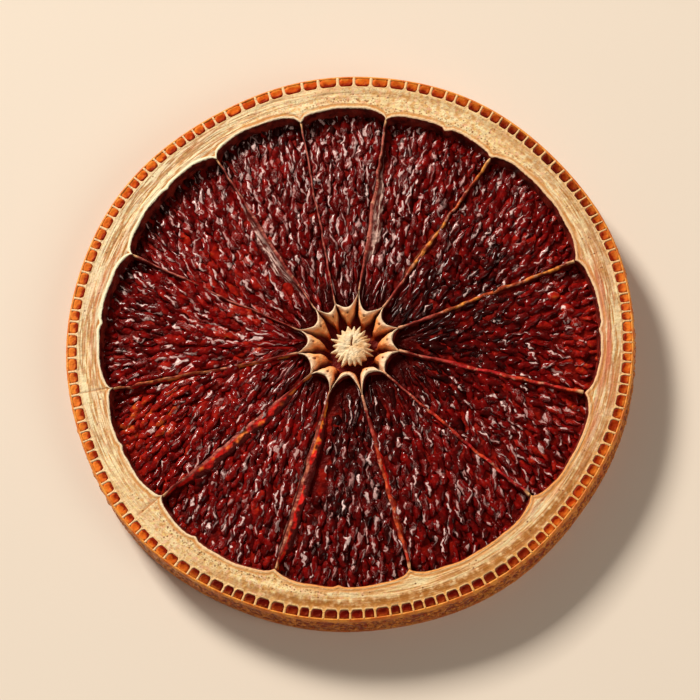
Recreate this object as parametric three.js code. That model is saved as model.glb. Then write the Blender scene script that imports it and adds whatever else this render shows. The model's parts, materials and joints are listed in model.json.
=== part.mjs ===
// A slice of blood orange, cut straight across the fruit and dried until it is stiff.
//
// It is one piece: a ring of rind, with twelve wedges of flesh that have shrunk below its two cut
// faces, the membranes that still stand between them, and the pith at the core, torn into a small
// crater with a plug of pith in its middle. The slice lies flat on its underside at z = 0, +Z up,
// and the origin is the middle of the underside.
//
// The surface is one closed grid. Its columns fan out from the core, and its rings run from the
// middle of the upper face out to the rim, down the peel, and back in to the middle of the
// underside. A bearing is an angle at the core in degrees, from +Y, positive towards +X.
import * as THREE from "three";

// Driving dimensions, in millimetres.
const RADIUS = 33; // of the cut fruit
const THICKNESS = 6;
const CORE_SHIFT = 0.4; // how far the core lies from the middle of the fruit
const CORE_SHIFT_BEARING = 50;
const OUTLINE_WAVE = 0.12; // the peel's unevenness in plan
const FACE_DIP = 0.14; // how far the upper face dips where the slice has curled in drying

// Rind, measured inwards from the outline.
const SKIN = 0.45; // width of the skin's cut edge
const GLAND_ROW = 0.8; // width of the row of oil glands inside the skin
const GLAND_DEPTH = 0.3;
const SKIN_DROP = 0.04; // how far the skin's cut edge lies below the pith
const PEEL_ROUND = 0.55; // rounding of the peel's edges
const PEEL_BULGE = 0.18; // how far the peel swells at half its height

// Flesh.
const SCALLOP_RADIUS = 29; // outer end of a wedge, at its middle
const CUSP_RADIUS = 27.6; // outer end of a wedge, beside a membrane
const TIP_RADIUS = 4.6; // inner end of a wedge, at its middle
const FORK_RADIUS = 6.3; // where a membrane forks into the skins of its two neighbours
const WALL_RUN = 0.45; // plan width of the wall round a wedge
const MOAT_DEPTH = 1.7; // depth of the flesh beside the rind
const TIP_DEPTH = 1.35; // depth of the flesh beside the core
const CROWN = 0.85; // how far the middle of a wedge rises above its edges
const MEMBRANE = 0.5; // thickness of a membrane
const MEMBRANE_FOOT = 0.4; // plan width of each side of a membrane, down to the flesh
const MEMBRANE_SAG = 0.35; // how far a membrane dips halfway along

// Core.
const PLUG_DROP = 0.6; // depth of the plug's top
const PLUG_FLAT = 1.2; // radius of the plug's flat top
const PLUG_RADIUS = 2;
const PLUG_SHOULDER = 0.45; // drop from the plug's top to its shoulder
const CRATER_RADIUS = 2.25; // of the crater's floor, round the plug
const CRATER_DEPTH = 2.5;
const TEETH_RADIUS = 3.3; // inner ends of the teeth of pith round the crater
const LIP = 0.4; // width of the pale lip round the inner end of a wedge
const LIP_DROP = 0.1;

// The membranes, in order round the slice: the bearing of each at the rind and at the core.
const MEMBRANES = [
  { rind: 8, core: 8 },
  { rind: 36, core: 42 },
  { rind: 70, core: 74 },
  { rind: 103.5, core: 102 },
  { rind: 132, core: 134 },
  { rind: 165.5, core: 168 },
  { rind: 197, core: 201.5 },
  { rind: 229.5, core: 230 },
  { rind: 259, core: 258 },
  { rind: 293, core: 284 },
  { rind: 324.5, core: 314 },
  { rind: 347, core: 338 },
];

// The grid's columns across one wedge, from the middle of its left membrane. Each stands on a
// membrane's middle, edge or foot, or on the flesh at a share of the wedge's width. On the flesh,
// tooth is how much of a tooth's height the column reaches at the core, and tip the same at the
// tooth's inner end.
const EDGE = MEMBRANE / 2;
const FOOT = EDGE + MEMBRANE_FOOT;
const COLUMNS = [
  { on: "middle", side: 1, offset: 0, tooth: 0, tip: 0 },
  { on: "edge", side: 1, offset: EDGE, tooth: 0.05, tip: 0.02 },
  { on: "foot", side: 1, offset: FOOT, tooth: 0.2, tip: 0.05 },
  { on: "flesh", share: 0.17, tooth: 0.4, tip: 0.05 },
  { on: "flesh", share: 0.33, tooth: 0.6, tip: 0.1 },
  { on: "flesh", share: 0.5, tooth: 0.8, tip: 0.45 },
  { on: "flesh", share: 0.67, tooth: 0.6, tip: 0.1 },
  { on: "flesh", share: 0.83, tooth: 0.4, tip: 0.05 },
  { on: "foot", side: -1, offset: FOOT, tooth: 0.2, tip: 0.05 },
  { on: "edge", side: -1, offset: EDGE, tooth: 0.05, tip: 0.02 },
];
const ALONG = [0, 0.25, 0.5, 0.8, 1]; // rings on a wedge's floor, as shares of its length

const { lerp, degToRad, radToDeg, clamp, smoothstep } = THREE.MathUtils;

// The shift of a circle round the fruit's middle, seen from the core, on a bearing.
function shift(bearing) {
  return -CORE_SHIFT * Math.cos(degToRad(bearing - CORE_SHIFT_BEARING));
}

// The outline's distance from the core on a bearing.
function rimRadius(bearing) {
  const slow = Math.sin(degToRad(5 * bearing + 40));
  const quick = Math.sin(degToRad(9 * bearing + 200));
  return RADIUS + shift(bearing) + OUTLINE_WAVE * (slow + 0.6 * quick);
}

// The upper face's height on a bearing: the full thickness, less the dip on two opposite sides.
function faceHeight(bearing) {
  return THICKNESS - (FACE_DIP / 2) * (1 - Math.cos(degToRad(2 * bearing - 60)));
}

// A membrane's bearing at a radius. It runs straight from its fork at the core to the rind.
function membraneBearing(membrane, radius) {
  const turn = degToRad(membrane.core - membrane.rind);
  const share = clamp((radius - FORK_RADIUS) / (CUSP_RADIUS - FORK_RADIUS), 0, 1);
  const across = lerp(FORK_RADIUS * Math.sin(turn), 0, share);
  const out = lerp(FORK_RADIUS * Math.cos(turn), CUSP_RADIUS, share);
  return membrane.rind + radToDeg(Math.atan2(across, out));
}

// The two membranes beside a wedge. The last wedge's right membrane is a full turn on.
function wedgeSides(index) {
  const left = MEMBRANES[index];
  const next = MEMBRANES[(index + 1) % MEMBRANES.length];
  const turn = index + 1 === MEMBRANES.length ? 360 : 0;
  return { left, right: { rind: next.rind + turn, core: next.core + turn } };
}

// The bearing of a wedge's column at a radius. Outside the flesh the columns even out, so that
// the outline stays round.
function columnBearing(wedge, column, radius) {
  const left = membraneBearing(wedge.left, radius);
  const right = membraneBearing(wedge.right, radius);
  const turn = radToDeg((column.offset ?? 0) / Math.max(radius, FORK_RADIUS));
  const byMembrane = column.side > 0 ? left + turn : right - turn;
  const onFlesh = column.on === "flesh" ? lerp(left, right, column.share) : byMembrane;
  const even = lerp(left, right, COLUMNS.indexOf(column) / COLUMNS.length);
  const rindStart = SCALLOP_RADIUS + CORE_SHIFT;
  return lerp(onFlesh, even, smoothstep(radius, rindStart, RADIUS - SKIN - GLAND_ROW));
}

// A column's share of its wedge's width at a radius.
function widthShare(wedge, column, radius) {
  const left = membraneBearing(wedge.left, radius);
  const right = membraneBearing(wedge.right, radius);
  return (columnBearing(wedge, column, radius) - left) / (right - left);
}

// The rounded end of a wedge: 0 beside the membranes and 1 at its middle.
function roundEnd(share) {
  return Math.sqrt(Math.max(0, 1 - (2 * share - 1) ** 2));
}

// Depth of a membrane's top below the face, at a share of its length.
function ridgeDepth(along) {
  return LIP_DROP + MEMBRANE_SAG * Math.sin(Math.PI * along);
}

// Depth of the flesh below the face: deepest round its edge, crowned in the middle.
function fleshDepth(column, along) {
  const edgeDepth = lerp(TIP_DEPTH, MOAT_DEPTH, along);
  const crossways = column.on === "flesh" ? roundEnd(column.share) : 0;
  const lengthways = smoothstep(along, 0, 0.25) * smoothstep(1 - along, 0, 0.35);
  return edgeDepth - CROWN * crossways * lengthways;
}

// The core's stations on a column, from the plug outwards: radius, and depth below the face.
function coreStations(column, inner) {
  const inLip = inner - LIP;
  const fork = column.on === "middle";
  return [
    { radius: PLUG_FLAT, depth: PLUG_DROP },
    { radius: PLUG_RADIUS, depth: PLUG_DROP + PLUG_SHOULDER },
    { radius: CRATER_RADIUS, depth: CRATER_DEPTH },
    { radius: TEETH_RADIUS, depth: lerp(CRATER_DEPTH, LIP_DROP, column.tip) },
    { radius: (TEETH_RADIUS + inLip) / 2, depth: lerp(CRATER_DEPTH, LIP_DROP, column.tooth) },
    { radius: inLip, depth: fork ? CRATER_DEPTH * 0.7 : LIP_DROP },
    { radius: inner, depth: LIP_DROP },
  ];
}

// The rind's stations on a column, from the outer end of the flesh to the skin.
function rindStations(outer, rim) {
  const glandEnd = rim - SKIN;
  const glandStart = glandEnd - GLAND_ROW;
  return [
    { radius: outer, depth: 0.03 },
    { radius: lerp(outer, glandStart, 0.35), depth: 0 },
    { radius: glandStart, depth: 0 },
    { radius: (glandStart + glandEnd) / 2, depth: GLAND_DEPTH },
    { radius: glandEnd, depth: SKIN_DROP },
  ];
}

// All of one cut face's stations on a column, from the core to the skin.
function faceStations(wedge, column) {
  const onMembrane = column.on === "middle" || column.on === "edge";
  const tip = onMembrane ? 0 : roundEnd(widthShare(wedge, column, TIP_RADIUS));
  const scallop = onMembrane ? 0 : roundEnd(widthShare(wedge, column, CUSP_RADIUS));
  const bearing = columnBearing(wedge, column, RADIUS);
  const inner = lerp(FORK_RADIUS, TIP_RADIUS, tip);
  const outer = lerp(CUSP_RADIUS, SCALLOP_RADIUS, scallop) + shift(bearing);
  const floor = ALONG.map((along) => ({
    radius: lerp(inner + WALL_RUN, outer - WALL_RUN, along),
    depth: onMembrane ? ridgeDepth(along) : fleshDepth(column, along),
  }));
  return [...coreStations(column, inner), ...floor, ...rindStations(outer, rimRadius(bearing))];
}

// The peel's stations, from its upper edge to its lower: inset from the outline, and height.
function peelStations(height) {
  const shoulder = 0.3 * PEEL_ROUND;
  const flank = 1.2 * PEEL_ROUND;
  return [
    { inset: shoulder, height: height - shoulder },
    { inset: 0, height: height - flank },
    { inset: -PEEL_BULGE, height: height / 2 },
    { inset: 0, height: flank },
    { inset: shoulder, height: shoulder },
  ];
}

// Every point of one column, from the upper face's innermost ring round to the underside's.
function columnPoints(wedge, column) {
  const rimBearing = columnBearing(wedge, column, RADIUS);
  const rim = rimRadius(rimBearing);
  const height = faceHeight(rimBearing);
  const point = (radius, z) => {
    const bearing = degToRad(columnBearing(wedge, column, radius));
    return new THREE.Vector3(radius * Math.sin(bearing), radius * Math.cos(bearing), z);
  };
  const stations = faceStations(wedge, column);
  const upper = stations.map((s) => point(s.radius, height - s.depth));
  const peel = peelStations(height).map((s) => point(rim - s.inset, s.height));
  const lower = stations.map((s) => point(s.radius, s.depth)).reverse();
  return [...upper, ...peel, ...lower];
}

// Joins the columns into one closed surface, with a pole at the middle of each face.
function sliceGeometry() {
  const columns = MEMBRANES.flatMap((_, index) => {
    const wedge = wedgeSides(index);
    return COLUMNS.map((column) => columnPoints(wedge, column));
  });
  const rings = columns[0].length;
  const at = (column, ring) => (column % columns.length) * rings + ring;
  const upperPole = columns.length * rings;
  const lowerPole = upperPole + 1;
  const positions = columns.flat().flatMap((point) => point.toArray());
  positions.push(0, 0, THICKNESS - FACE_DIP / 2 - PLUG_DROP);
  positions.push(0, 0, PLUG_DROP);

  const triangles = [];
  for (let c = 0; c < columns.length; c++) {
    triangles.push(upperPole, at(c + 1, 0), at(c, 0));
    triangles.push(lowerPole, at(c, rings - 1), at(c + 1, rings - 1));
    for (let r = 0; r + 1 < rings; r++) {
      triangles.push(at(c, r), at(c + 1, r), at(c, r + 1));
      triangles.push(at(c + 1, r), at(c + 1, r + 1), at(c, r + 1));
    }
  }

  const geometry = new THREE.BufferGeometry();
  geometry.setAttribute("position", new THREE.Float32BufferAttribute(positions, 3));
  geometry.setIndex(triangles);
  geometry.computeBoundingBox();
  const middle = geometry.boundingBox.getCenter(new THREE.Vector3());
  geometry.translate(-middle.x, -middle.y, 0);
  geometry.computeVertexNormals();
  return geometry;
}

const driedOrange = new THREE.MeshStandardMaterial({ color: 0x5a0d10, roughness: 0.4, metalness: 0 });

const slice = new THREE.Mesh(sliceGeometry(), driedOrange);
slice.name = "slice";

const part = new THREE.Group();
part.add(slice);

export default part;
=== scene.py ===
import json

import bmesh
import bpy
import numpy as np
from mathutils import Matrix, Vector, noise

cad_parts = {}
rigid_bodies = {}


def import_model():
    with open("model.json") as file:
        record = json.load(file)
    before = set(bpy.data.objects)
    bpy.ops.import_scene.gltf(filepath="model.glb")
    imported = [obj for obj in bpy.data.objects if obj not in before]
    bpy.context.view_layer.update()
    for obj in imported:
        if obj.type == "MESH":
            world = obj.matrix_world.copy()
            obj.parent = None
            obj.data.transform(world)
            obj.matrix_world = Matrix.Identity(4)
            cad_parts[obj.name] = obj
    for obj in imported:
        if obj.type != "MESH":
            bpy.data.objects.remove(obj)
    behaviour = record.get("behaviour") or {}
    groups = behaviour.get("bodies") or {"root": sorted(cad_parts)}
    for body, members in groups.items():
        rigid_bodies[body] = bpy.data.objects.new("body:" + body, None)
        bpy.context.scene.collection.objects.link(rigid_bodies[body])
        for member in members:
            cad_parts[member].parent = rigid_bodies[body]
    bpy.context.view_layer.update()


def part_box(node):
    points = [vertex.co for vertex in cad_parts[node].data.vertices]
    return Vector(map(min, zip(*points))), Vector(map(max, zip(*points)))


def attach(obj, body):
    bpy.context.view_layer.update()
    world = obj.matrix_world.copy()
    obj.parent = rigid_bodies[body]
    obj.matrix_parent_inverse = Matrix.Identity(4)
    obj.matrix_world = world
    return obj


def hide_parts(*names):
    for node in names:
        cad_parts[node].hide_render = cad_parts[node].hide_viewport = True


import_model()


# ---- Peel ----
# The coloured skin, left on when the fruit was cut across: a leathery band all round the slice.
# The oil glands under it stand out as pebbles. Drying has wrinkled it between them, rounded its
# two cut edges and turned it from orange to golden brown over dark red. The golden backs of its
# wrinkles and tops of its pebbles are painted highlights, and the dark red between the pebbles is
# partly painted shade.

MM = 0.001
low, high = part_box("slice")
THICKNESS = (high.z - low.z) / MM
PEEL_BULGE = 0.18
FRUIT_RADIUS = (high.x - low.x) / MM / 2 - PEEL_BULGE
OUTLINE_WAVE = 0.12
FACE_DIP = 0.14
CORE_SHIFT = 0.4  # the core lies this far from the middle of the outline
CORE_SHIFT_BEARING = 50  # bearings are degrees at the core from +Y, positive towards +X
CORE = CORE_SHIFT * np.array(
    [np.sin(np.radians(CORE_SHIFT_BEARING)), np.cos(np.radians(CORE_SHIFT_BEARING))]
)
SKIN = 0.3  # width of the skin's cut edge
SKIN_BACK = 0.15  # how far the skin's hidden inner side lies behind its cut edge
SKIN_DROP = 0.06
PEEL_ROUND = 0.6
PEEL_TUCK = 0.9  # how far the skin's inner side is followed down, behind the glands
PEEL_COLUMNS = 1380
PEEL_RINGS = 31
PEBBLE_SIZE = 0.95
PEBBLE_HEIGHT = 0.26
WRINKLE_SIZE = 1.7
WRINKLE_HEIGHT = 0.3
WRINKLE_SWAY = 1.2


def shift(bearing):
    """How far a circle round the fruit's middle lies in or out, seen from the core."""
    return -CORE_SHIFT * np.cos(np.radians(bearing - CORE_SHIFT_BEARING))


def rim(bearing):
    """The outline's distance from the core, in mm."""
    slow = np.sin(np.radians(5 * bearing + 40))
    quick = np.sin(np.radians(9 * bearing + 200))
    return FRUIT_RADIUS + shift(bearing) + OUTLINE_WAVE * (slow + 0.6 * quick)


def face_height(bearing):
    """The upper face's height, in mm. Drying has curled it down on two opposite sides."""
    return THICKNESS - FACE_DIP / 2 * (1 - np.cos(np.radians(2 * bearing - 60)))


def eased(value, start, end):
    """0 before start, 1 after end, and smooth between them."""
    share = np.clip((value - start) / (end - start), 0, 1)
    return share * share * (3 - 2 * share)


def placed(bearing, radius, height):
    """Points in metres, from bearings in degrees at the core, and radius and height in mm."""
    turn = np.radians(bearing)
    x = CORE[0] + radius * np.sin(turn)
    y = CORE[1] + radius * np.cos(turn)
    return np.stack(np.broadcast_arrays(x, y, height), -1) * MM


def added(name, data):
    """A new object in the scene."""
    made = bpy.data.objects.new(name, data)
    bpy.context.scene.collection.objects.link(made)
    return made


def smooth_mesh(name, points, faces):
    mesh = bpy.data.meshes.new(name)
    mesh.from_pydata(points, [], faces)
    mesh.shade_smooth()
    return mesh


def set_mark(mesh, name, values, kind="FLOAT", field="value"):
    """Writes a mark on a mesh: a number, or three, on each of its points."""
    layer = mesh.attributes.new(name, kind, "POINT")
    layer.data.foreach_set(field, np.ascontiguousarray(values, np.float32).ravel())


def mesh_piece(name, points, faces, marks):
    """A smooth closed mesh, with its faces turned outwards. Marks are numbers on its points."""
    flat = points.reshape(-1, 3)
    corner = flat[faces]
    across = np.cross(corner[:, 2] - corner[:, 0], corner[:, -1] - corner[:, 1])
    if np.einsum("ij,ij->", corner.mean(1) - flat.mean(0), across) < 0:
        faces = faces[:, ::-1]
    mesh = smooth_mesh(name, flat.tolist(), faces.tolist())
    for mark, values in marks.items():
        set_mark(mesh, mark, values)
    return added(name, mesh)


def band(name, points, marks):
    """A closed band round the core, from points [column, ring]."""
    columns, rings = points.shape[:2]
    column, ring = np.mgrid[0:columns, 0:rings]
    beside, beyond = (column + 1) % columns, (ring + 1) % rings
    corners = [(column, ring), (beside, ring), (beside, beyond), (column, beyond)]
    faces = np.stack([c * rings + r for c, r in corners], -1).reshape(-1, 4)
    return mesh_piece(name, points, faces, marks)


def node(tree, kind, inputs=(), **settings):
    """Adds a node. An input that is another node's socket is linked, and any other is set."""
    made = tree.nodes.new(kind)
    for name, value in settings.items():
        setattr(made, name, value)
    for name, value in dict(inputs).items():
        if isinstance(value, bpy.types.NodeSocket):
            tree.links.new(value, made.inputs[name])
        else:
            made.inputs[name].default_value = value
    return made


def tree_of(*values):
    """The node tree of the first socket among these values."""
    return next(value.id_data for value in values if isinstance(value, bpy.types.NodeSocket))


def maths(operation, *values):
    inputs = enumerate(values)
    return node(tree_of(*values), "ShaderNodeMath", inputs, operation=operation).outputs[0]


def times(*values):
    product = values[0]
    for value in values[1:]:
        product = maths("MULTIPLY", product, value)
    return product


def vector_maths(operation, *values):
    inputs = enumerate(values)
    made = node(tree_of(*values), "ShaderNodeVectorMath", inputs, operation=operation)
    return made.outputs["Value" if operation in ("LENGTH", "DOT_PRODUCT") else "Vector"]


def scaled(vector, factor):
    inputs = {0: vector, "Scale": factor}
    made = node(tree_of(vector), "ShaderNodeVectorMath", inputs, operation="SCALE")
    return made.outputs["Vector"]


def xyz(x=0.0, y=0.0, z=0.0):
    inputs = {"X": x, "Y": y, "Z": z}
    return node(tree_of(x, y, z), "ShaderNodeCombineXYZ", inputs).outputs[0]


def ease(value, start, end, low_value=0.0, high_value=1.0):
    """Turns start to end of a socket's value into low_value to high_value, smoothly."""
    ends = {"From Min": start, "From Max": end, "To Min": low_value, "To Max": high_value}
    inputs = {"Value": value, **ends}
    made = node(tree_of(value), "ShaderNodeMapRange", inputs, interpolation_type="SMOOTHSTEP")
    return made.outputs["Result"]


def noise_at(vector, scale=1.0, detail=2.0):
    """Noise from 0 to 1 at a place, as a number, "Fac", and as three, "Color"."""
    inputs = {"Vector": vector, "Scale": scale, "Detail": detail}
    return node(tree_of(vector), "ShaderNodeTexNoise", inputs).outputs


def cells_at(vector, scale, randomness=1.0, dimensions="3D"):
    """How far a place is from the middle of its cell, in a space filled with cells."""
    inputs = {"Vector": vector, "Scale": scale, "Randomness": randomness}
    made = node(tree_of(vector), "ShaderNodeTexVoronoi", inputs, voronoi_dimensions=dimensions)
    return made.outputs["Distance"]


def marks_on(tree, *names):
    """The numbers of these marks, in a material."""
    return [node(tree, "ShaderNodeAttribute", attribute_name=n).outputs["Fac"] for n in names]


def blended(share, first, second):
    """A mix of two colours, each a socket or red, green and blue."""
    colours = [c if isinstance(c, bpy.types.NodeSocket) else (*c, 1) for c in (first, second)]
    inputs = {0: share, 6: colours[0], 7: colours[1]}
    return node(tree_of(share), "ShaderNodeMix", inputs, data_type="RGBA").outputs[2]


def layered(colour, *layers):
    """A colour with others laid over it in turn, each after the share that it covers."""
    for share, over in layers:
        colour = blended(share, colour, over)
    return colour


def node_group(name, kind, inputs, outputs):
    """A tree with named inputs and outputs. Returns it, its input node and its output node."""
    tree = bpy.data.node_groups.new(name, kind)
    for way, sockets in (("INPUT", inputs), ("OUTPUT", outputs)):
        for label, socket in sockets.items():
            tree.interface.new_socket(label, in_out=way, socket_type="NodeSocket" + socket)
    return tree, tree.nodes.new("NodeGroupInput"), tree.nodes.new("NodeGroupOutput")


def place_in_mm(tree):
    """Where a point of the piece is, in mm, in a material."""
    return scaled(node(tree, "ShaderNodeTexCoord").outputs["Object"], 1 / MM)


def grain_group():
    """Noise from 0 to 1 all through the piece, with so many bumps a millimetre."""
    sockets = {"Per Millimetre": "Float", "Detail": "Float"}
    tree, given, out = node_group("grain", "ShaderNodeTree", sockets, {"Grain": "Float"})
    per_mm, detail = given.outputs[:2]
    tree.links.new(noise_at(place_in_mm(tree), per_mm, detail)["Fac"], out.inputs["Grain"])
    return tree


GRAIN = grain_group()


def grain(tree, per_mm, detail=3.0):
    inputs = {"Per Millimetre": per_mm, "Detail": detail}
    return node(tree, "ShaderNodeGroup", inputs, node_tree=GRAIN).outputs["Grain"]


def finish(name, roughness, **settings):
    """A material and its node tree. Settings are shader inputs that are alike all over."""
    material = bpy.data.materials.new(name)
    material.use_nodes = True
    shader = material.node_tree.nodes["Principled BSDF"]
    for setting, value in {"roughness": roughness, **settings}.items():
        label = setting.replace("_", " ").title().replace("Ior", "IOR")
        shader.inputs[label].default_value = value
    return material, material.node_tree


def dressed(material, colour, height=None, depth=0.0, roughness=None):
    """Gives a material its colour, and bump of this depth in mm from a height of 0 to 1."""
    tree = material.node_tree
    shader = tree.nodes["Principled BSDF"]
    tree.links.new(colour, shader.inputs["Base Color"])
    if height is not None:
        bump = node(tree, "ShaderNodeBump", {"Height": height, "Distance": depth * MM})
        tree.links.new(bump.outputs["Normal"], shader.inputs["Normal"])
    if roughness is not None:
        tree.links.new(roughness, shader.inputs["Roughness"])
    return material


def geometry_tree(name, sockets):
    """A geometry node tree, with these inputs after the geometry it starts from."""
    geometry = {"Geometry": "Geometry"}
    return node_group(name, "GeometryNodeTree", {**geometry, **sockets}, geometry)


def named(tree, name, kind="FLOAT"):
    """A mark, in a geometry node tree."""
    inputs = {"Name": name}
    return node(tree, "GeometryNodeInputNamedAttribute", inputs, data_type=kind).outputs[0]


def stored(geometry, name, value, kind, domain):
    """Geometry with a new mark on it."""
    inputs = {"Geometry": geometry, "Name": name, "Value": value}
    settings = {"data_type": kind, "domain": domain}
    made = node(tree_of(geometry), "GeometryNodeStoreNamedAttribute", inputs, **settings)
    return made.outputs[0]


def moved(geometry, **how):
    """Geometry with its points moved by an Offset, or to a Position."""
    inputs = {"Geometry": geometry, **how}
    return node(tree_of(geometry), "GeometryNodeSetPosition", inputs).outputs[0]


def realized(geometry):
    """Copies turned into plain mesh."""
    inputs = {"Geometry": geometry}
    return node(tree_of(geometry), "GeometryNodeRealizeInstances", inputs).outputs[0]


def worn(geometry, material, out):
    """Ends a tree: the copies become plain mesh, which wears the material."""
    tree = tree_of(geometry)
    inputs = {"Geometry": realized(geometry), "Material": material}
    tree.links.new(node(tree, "GeometryNodeSetMaterial", inputs).outputs[0], out.inputs[0])


def nodes_piece(name, source, tree, values):
    """The plain mesh that a geometry node tree makes of source, as a new piece."""
    modifier = source.modifiers.new(tree.name, "NODES")
    modifier.node_group = tree
    sockets = {s.name: s.identifier for s in tree.interface.items_tree if s.in_out == "INPUT"}
    for label, value in values.items():
        modifier[sockets[label]] = value
    graph = bpy.context.evaluated_depsgraph_get()
    mesh = bpy.data.meshes.new_from_object(
        source.evaluated_get(graph), preserve_all_data_layers=True, depsgraph=graph
    )
    source.modifiers.remove(modifier)
    bpy.data.objects.remove(source)
    mesh.name = name
    return added(name, mesh)


def hold(piece, material=None):
    """The piece is part of the one solid slice. It wears the material, if that is given."""
    if material:
        piece.data.materials.append(material)
    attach(piece, "root")
    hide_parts("slice")


def pebbled_tree():
    """Raises pebbles and wrinkles on the flank of the peel."""
    lengths = ("Pebble Size", "Pebble Height", "Wrinkle Size", "Wrinkle Height", "Wrinkle Sway")
    tree, given, out = geometry_tree(
        "pebbled_peel", {**dict.fromkeys(lengths, "Float"), "Peel": "Material"}
    )
    pebble_size, pebble_height, wrinkle_size, wrinkle_height, wrinkle_sway = (
        given.outputs[label] for label in lengths
    )
    where = node(tree, "GeometryNodeInputPosition").outputs[0]
    often = maths("DIVIDE", 1.0, wrinkle_size)
    sway = noise_at(where, times(often, 0.6))["Color"]
    swayed = vector_maths("ADD", scaled(sway, wrinkle_sway), where)
    squat = vector_maths("MULTIPLY", swayed, (1.0, 1.0, 1.25))
    cell = cells_at(squat, maths("DIVIDE", 1.0, pebble_size), 0.75)
    pebble = ease(cell, 0.62, 0.12)
    creases = noise_at(squat, often)["Fac"]
    raised = times(maths("SUBTRACT", pebble, 1.0), pebble_height)
    creased = times(maths("SUBTRACT", creases, 0.5), wrinkle_height)
    lift = times(maths("ADD", raised, creased), named(tree, "flank"))
    offset = scaled(node(tree, "GeometryNodeInputNormal").outputs[0], lift)
    crest = stored(given.outputs["Geometry"], "crest", pebble, "FLOAT", "POINT")
    worn(moved(crest, Offset=offset), given.outputs["Peel"], out)
    return tree


def peel_finish():
    material, tree = finish("dried_peel", 0.45, specular_tint=(1.0, 0.7, 0.45, 1.0))
    crest, flank = marks_on(tree, "crest", "flank")
    patches = ease(grain(tree, 0.22), 0.35, 0.65)
    colour = blended(patches, (0.56, 0.085, 0.01), (0.76, 0.24, 0.03))
    # Between the pebbles it is painted dark red, partly as shade in the creases.
    colour = blended(ease(crest, 0.1, 0.8), (0.27, 0.022, 0.004), colour)
    # Fine wavy wrinkles run all over it, with their backs painted paler as highlights, and the tops
    # of the pebbles painted golden as highlights too.
    wrinkled = ease(grain(tree, 1.9, 2.0), 0.38, 0.66)
    tips = times(ease(crest, 0.7, 1.0), grain(tree, 1.6, 2.0), 0.6)
    colour = layered(
        colour,
        (times(wrinkled, 0.8), (0.86, 0.3, 0.05)),
        (tips, (0.8, 0.4, 0.14)),
    )
    cut = ease(grain(tree, 0.9), 0.35, 0.65)
    cut = blended(cut, (0.66, 0.14, 0.014), (0.88, 0.33, 0.05))
    colour = blended(flank, cut, colour)
    height = maths("ADD", times(wrinkled, flank), times(grain(tree, 5.0, 4.0), 0.2))
    return dressed(material, colour, height, 0.25, ease(grain(tree, 2.5), 0.3, 0.7, 0.38, 0.62))


peel_bearing = np.linspace(0, 360, PEEL_COLUMNS, endpoint=False)[:, None]
peel_height = face_height(peel_bearing)
# Shares of the height, closer together at the rounded edges, from the upper cut edge down.
flank_share = 0.5 + 0.5 * np.sin(np.radians(np.linspace(90, -90, PEEL_RINGS)))
climb = SKIN_DROP + (peel_height - 2 * SKIN_DROP) * flank_share
to_edge = np.minimum(climb - SKIN_DROP, peel_height - SKIN_DROP - climb)
fall = np.clip(PEEL_ROUND - to_edge, 0, PEEL_ROUND)
inset = PEEL_ROUND - np.sqrt(PEEL_ROUND**2 - fall**2)
swell = PEEL_BULGE * (1 - (2 * flank_share - 1) ** 2)
outside = rim(peel_bearing) - 0.3 * inset + swell
inside = rim(peel_bearing) - SKIN
behind = inside - SKIN_BACK
peel_radius = np.concatenate([behind, inside, outside, inside, behind], axis=1)
tuck = np.full_like(peel_bearing, PEEL_TUCK)
drop = np.full_like(peel_bearing, SKIN_DROP)
peel_z = np.concatenate([peel_height - tuck, peel_height - drop, climb, drop, tuck], axis=1)
flank_mark = np.zeros_like(peel_radius)
flank_mark[:, 2:-2] = eased(to_edge, 0.1, 1.5)
peel = nodes_piece(
    "peel",
    band("peel_band", placed(peel_bearing, peel_radius, peel_z), {"flank": flank_mark}),
    pebbled_tree(),
    {
        "Pebble Size": PEBBLE_SIZE * MM,
        "Pebble Height": PEBBLE_HEIGHT * MM,
        "Wrinkle Size": WRINKLE_SIZE * MM,
        "Wrinkle Height": WRINKLE_HEIGHT * MM,
        "Wrinkle Sway": WRINKLE_SWAY * MM,
        "Peel": peel_finish(),
    },
)
hold(peel)


# ---- Oil glands ----
# A single row of glands inside the skin, cut open with the fruit. Each is a small squarish cell,
# filled nearly to the cut face by its dried oil, which is orange against the skin and dark on its
# inner side. The pith stands up between them in thin walls.

GLANDS = 138
GLAND_ROW = 1.0
GLAND_PIT = 0.5
GLAND_WALL = 0.13  # half a wall's thickness, as a share of a gland's width
OIL_DROP = 0.07  # the oil's top, below the cut face
OIL_HEIGHT = 0.5
OIL_SIDES = 12
OIL_OVERLAP = 0.04  # how much longer the oil is than the row is wide
WIDE_GLANDS = ((0.35, 355, 30), (-0.1, 70, 60))
# Where the glands are darker round the ring. Round the bottom and lower right this is partly their
# own darker colour and partly painted shade.
DARK_AND_SHADED_GLANDS = ((2.2, 178, 54), (0.2, 125, 40), (0.4, 108, 20), (0.9, 45, 38), (0.25, 12, 25))
GOLD_GLANDS = ((1.0, 268, 50), (0.6, 78, 22))


def near_bearing(bearing, middle, width):
    """1 at a bearing and 0 further than width degrees from it."""
    apart = np.abs((bearing - middle + 180) % 360 - 180)
    return 1 - eased(apart, 0, width)


def patchy(bearing, patches):
    """The sum of patches round the slice. Of each: its strength, and its middle and width."""
    return sum(strength * near_bearing(bearing, *where) for strength, *where in patches)


gland_draw = np.random.default_rng(7)
gland_widths = gland_draw.uniform(0.78, 1.22, GLANDS)
gland_widths *= 1 + patchy(np.linspace(0, 360, GLANDS), WIDE_GLANDS)
gland_ends = np.concatenate([[0], np.cumsum(gland_widths)]) * 360 / gland_widths.sum()


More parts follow.
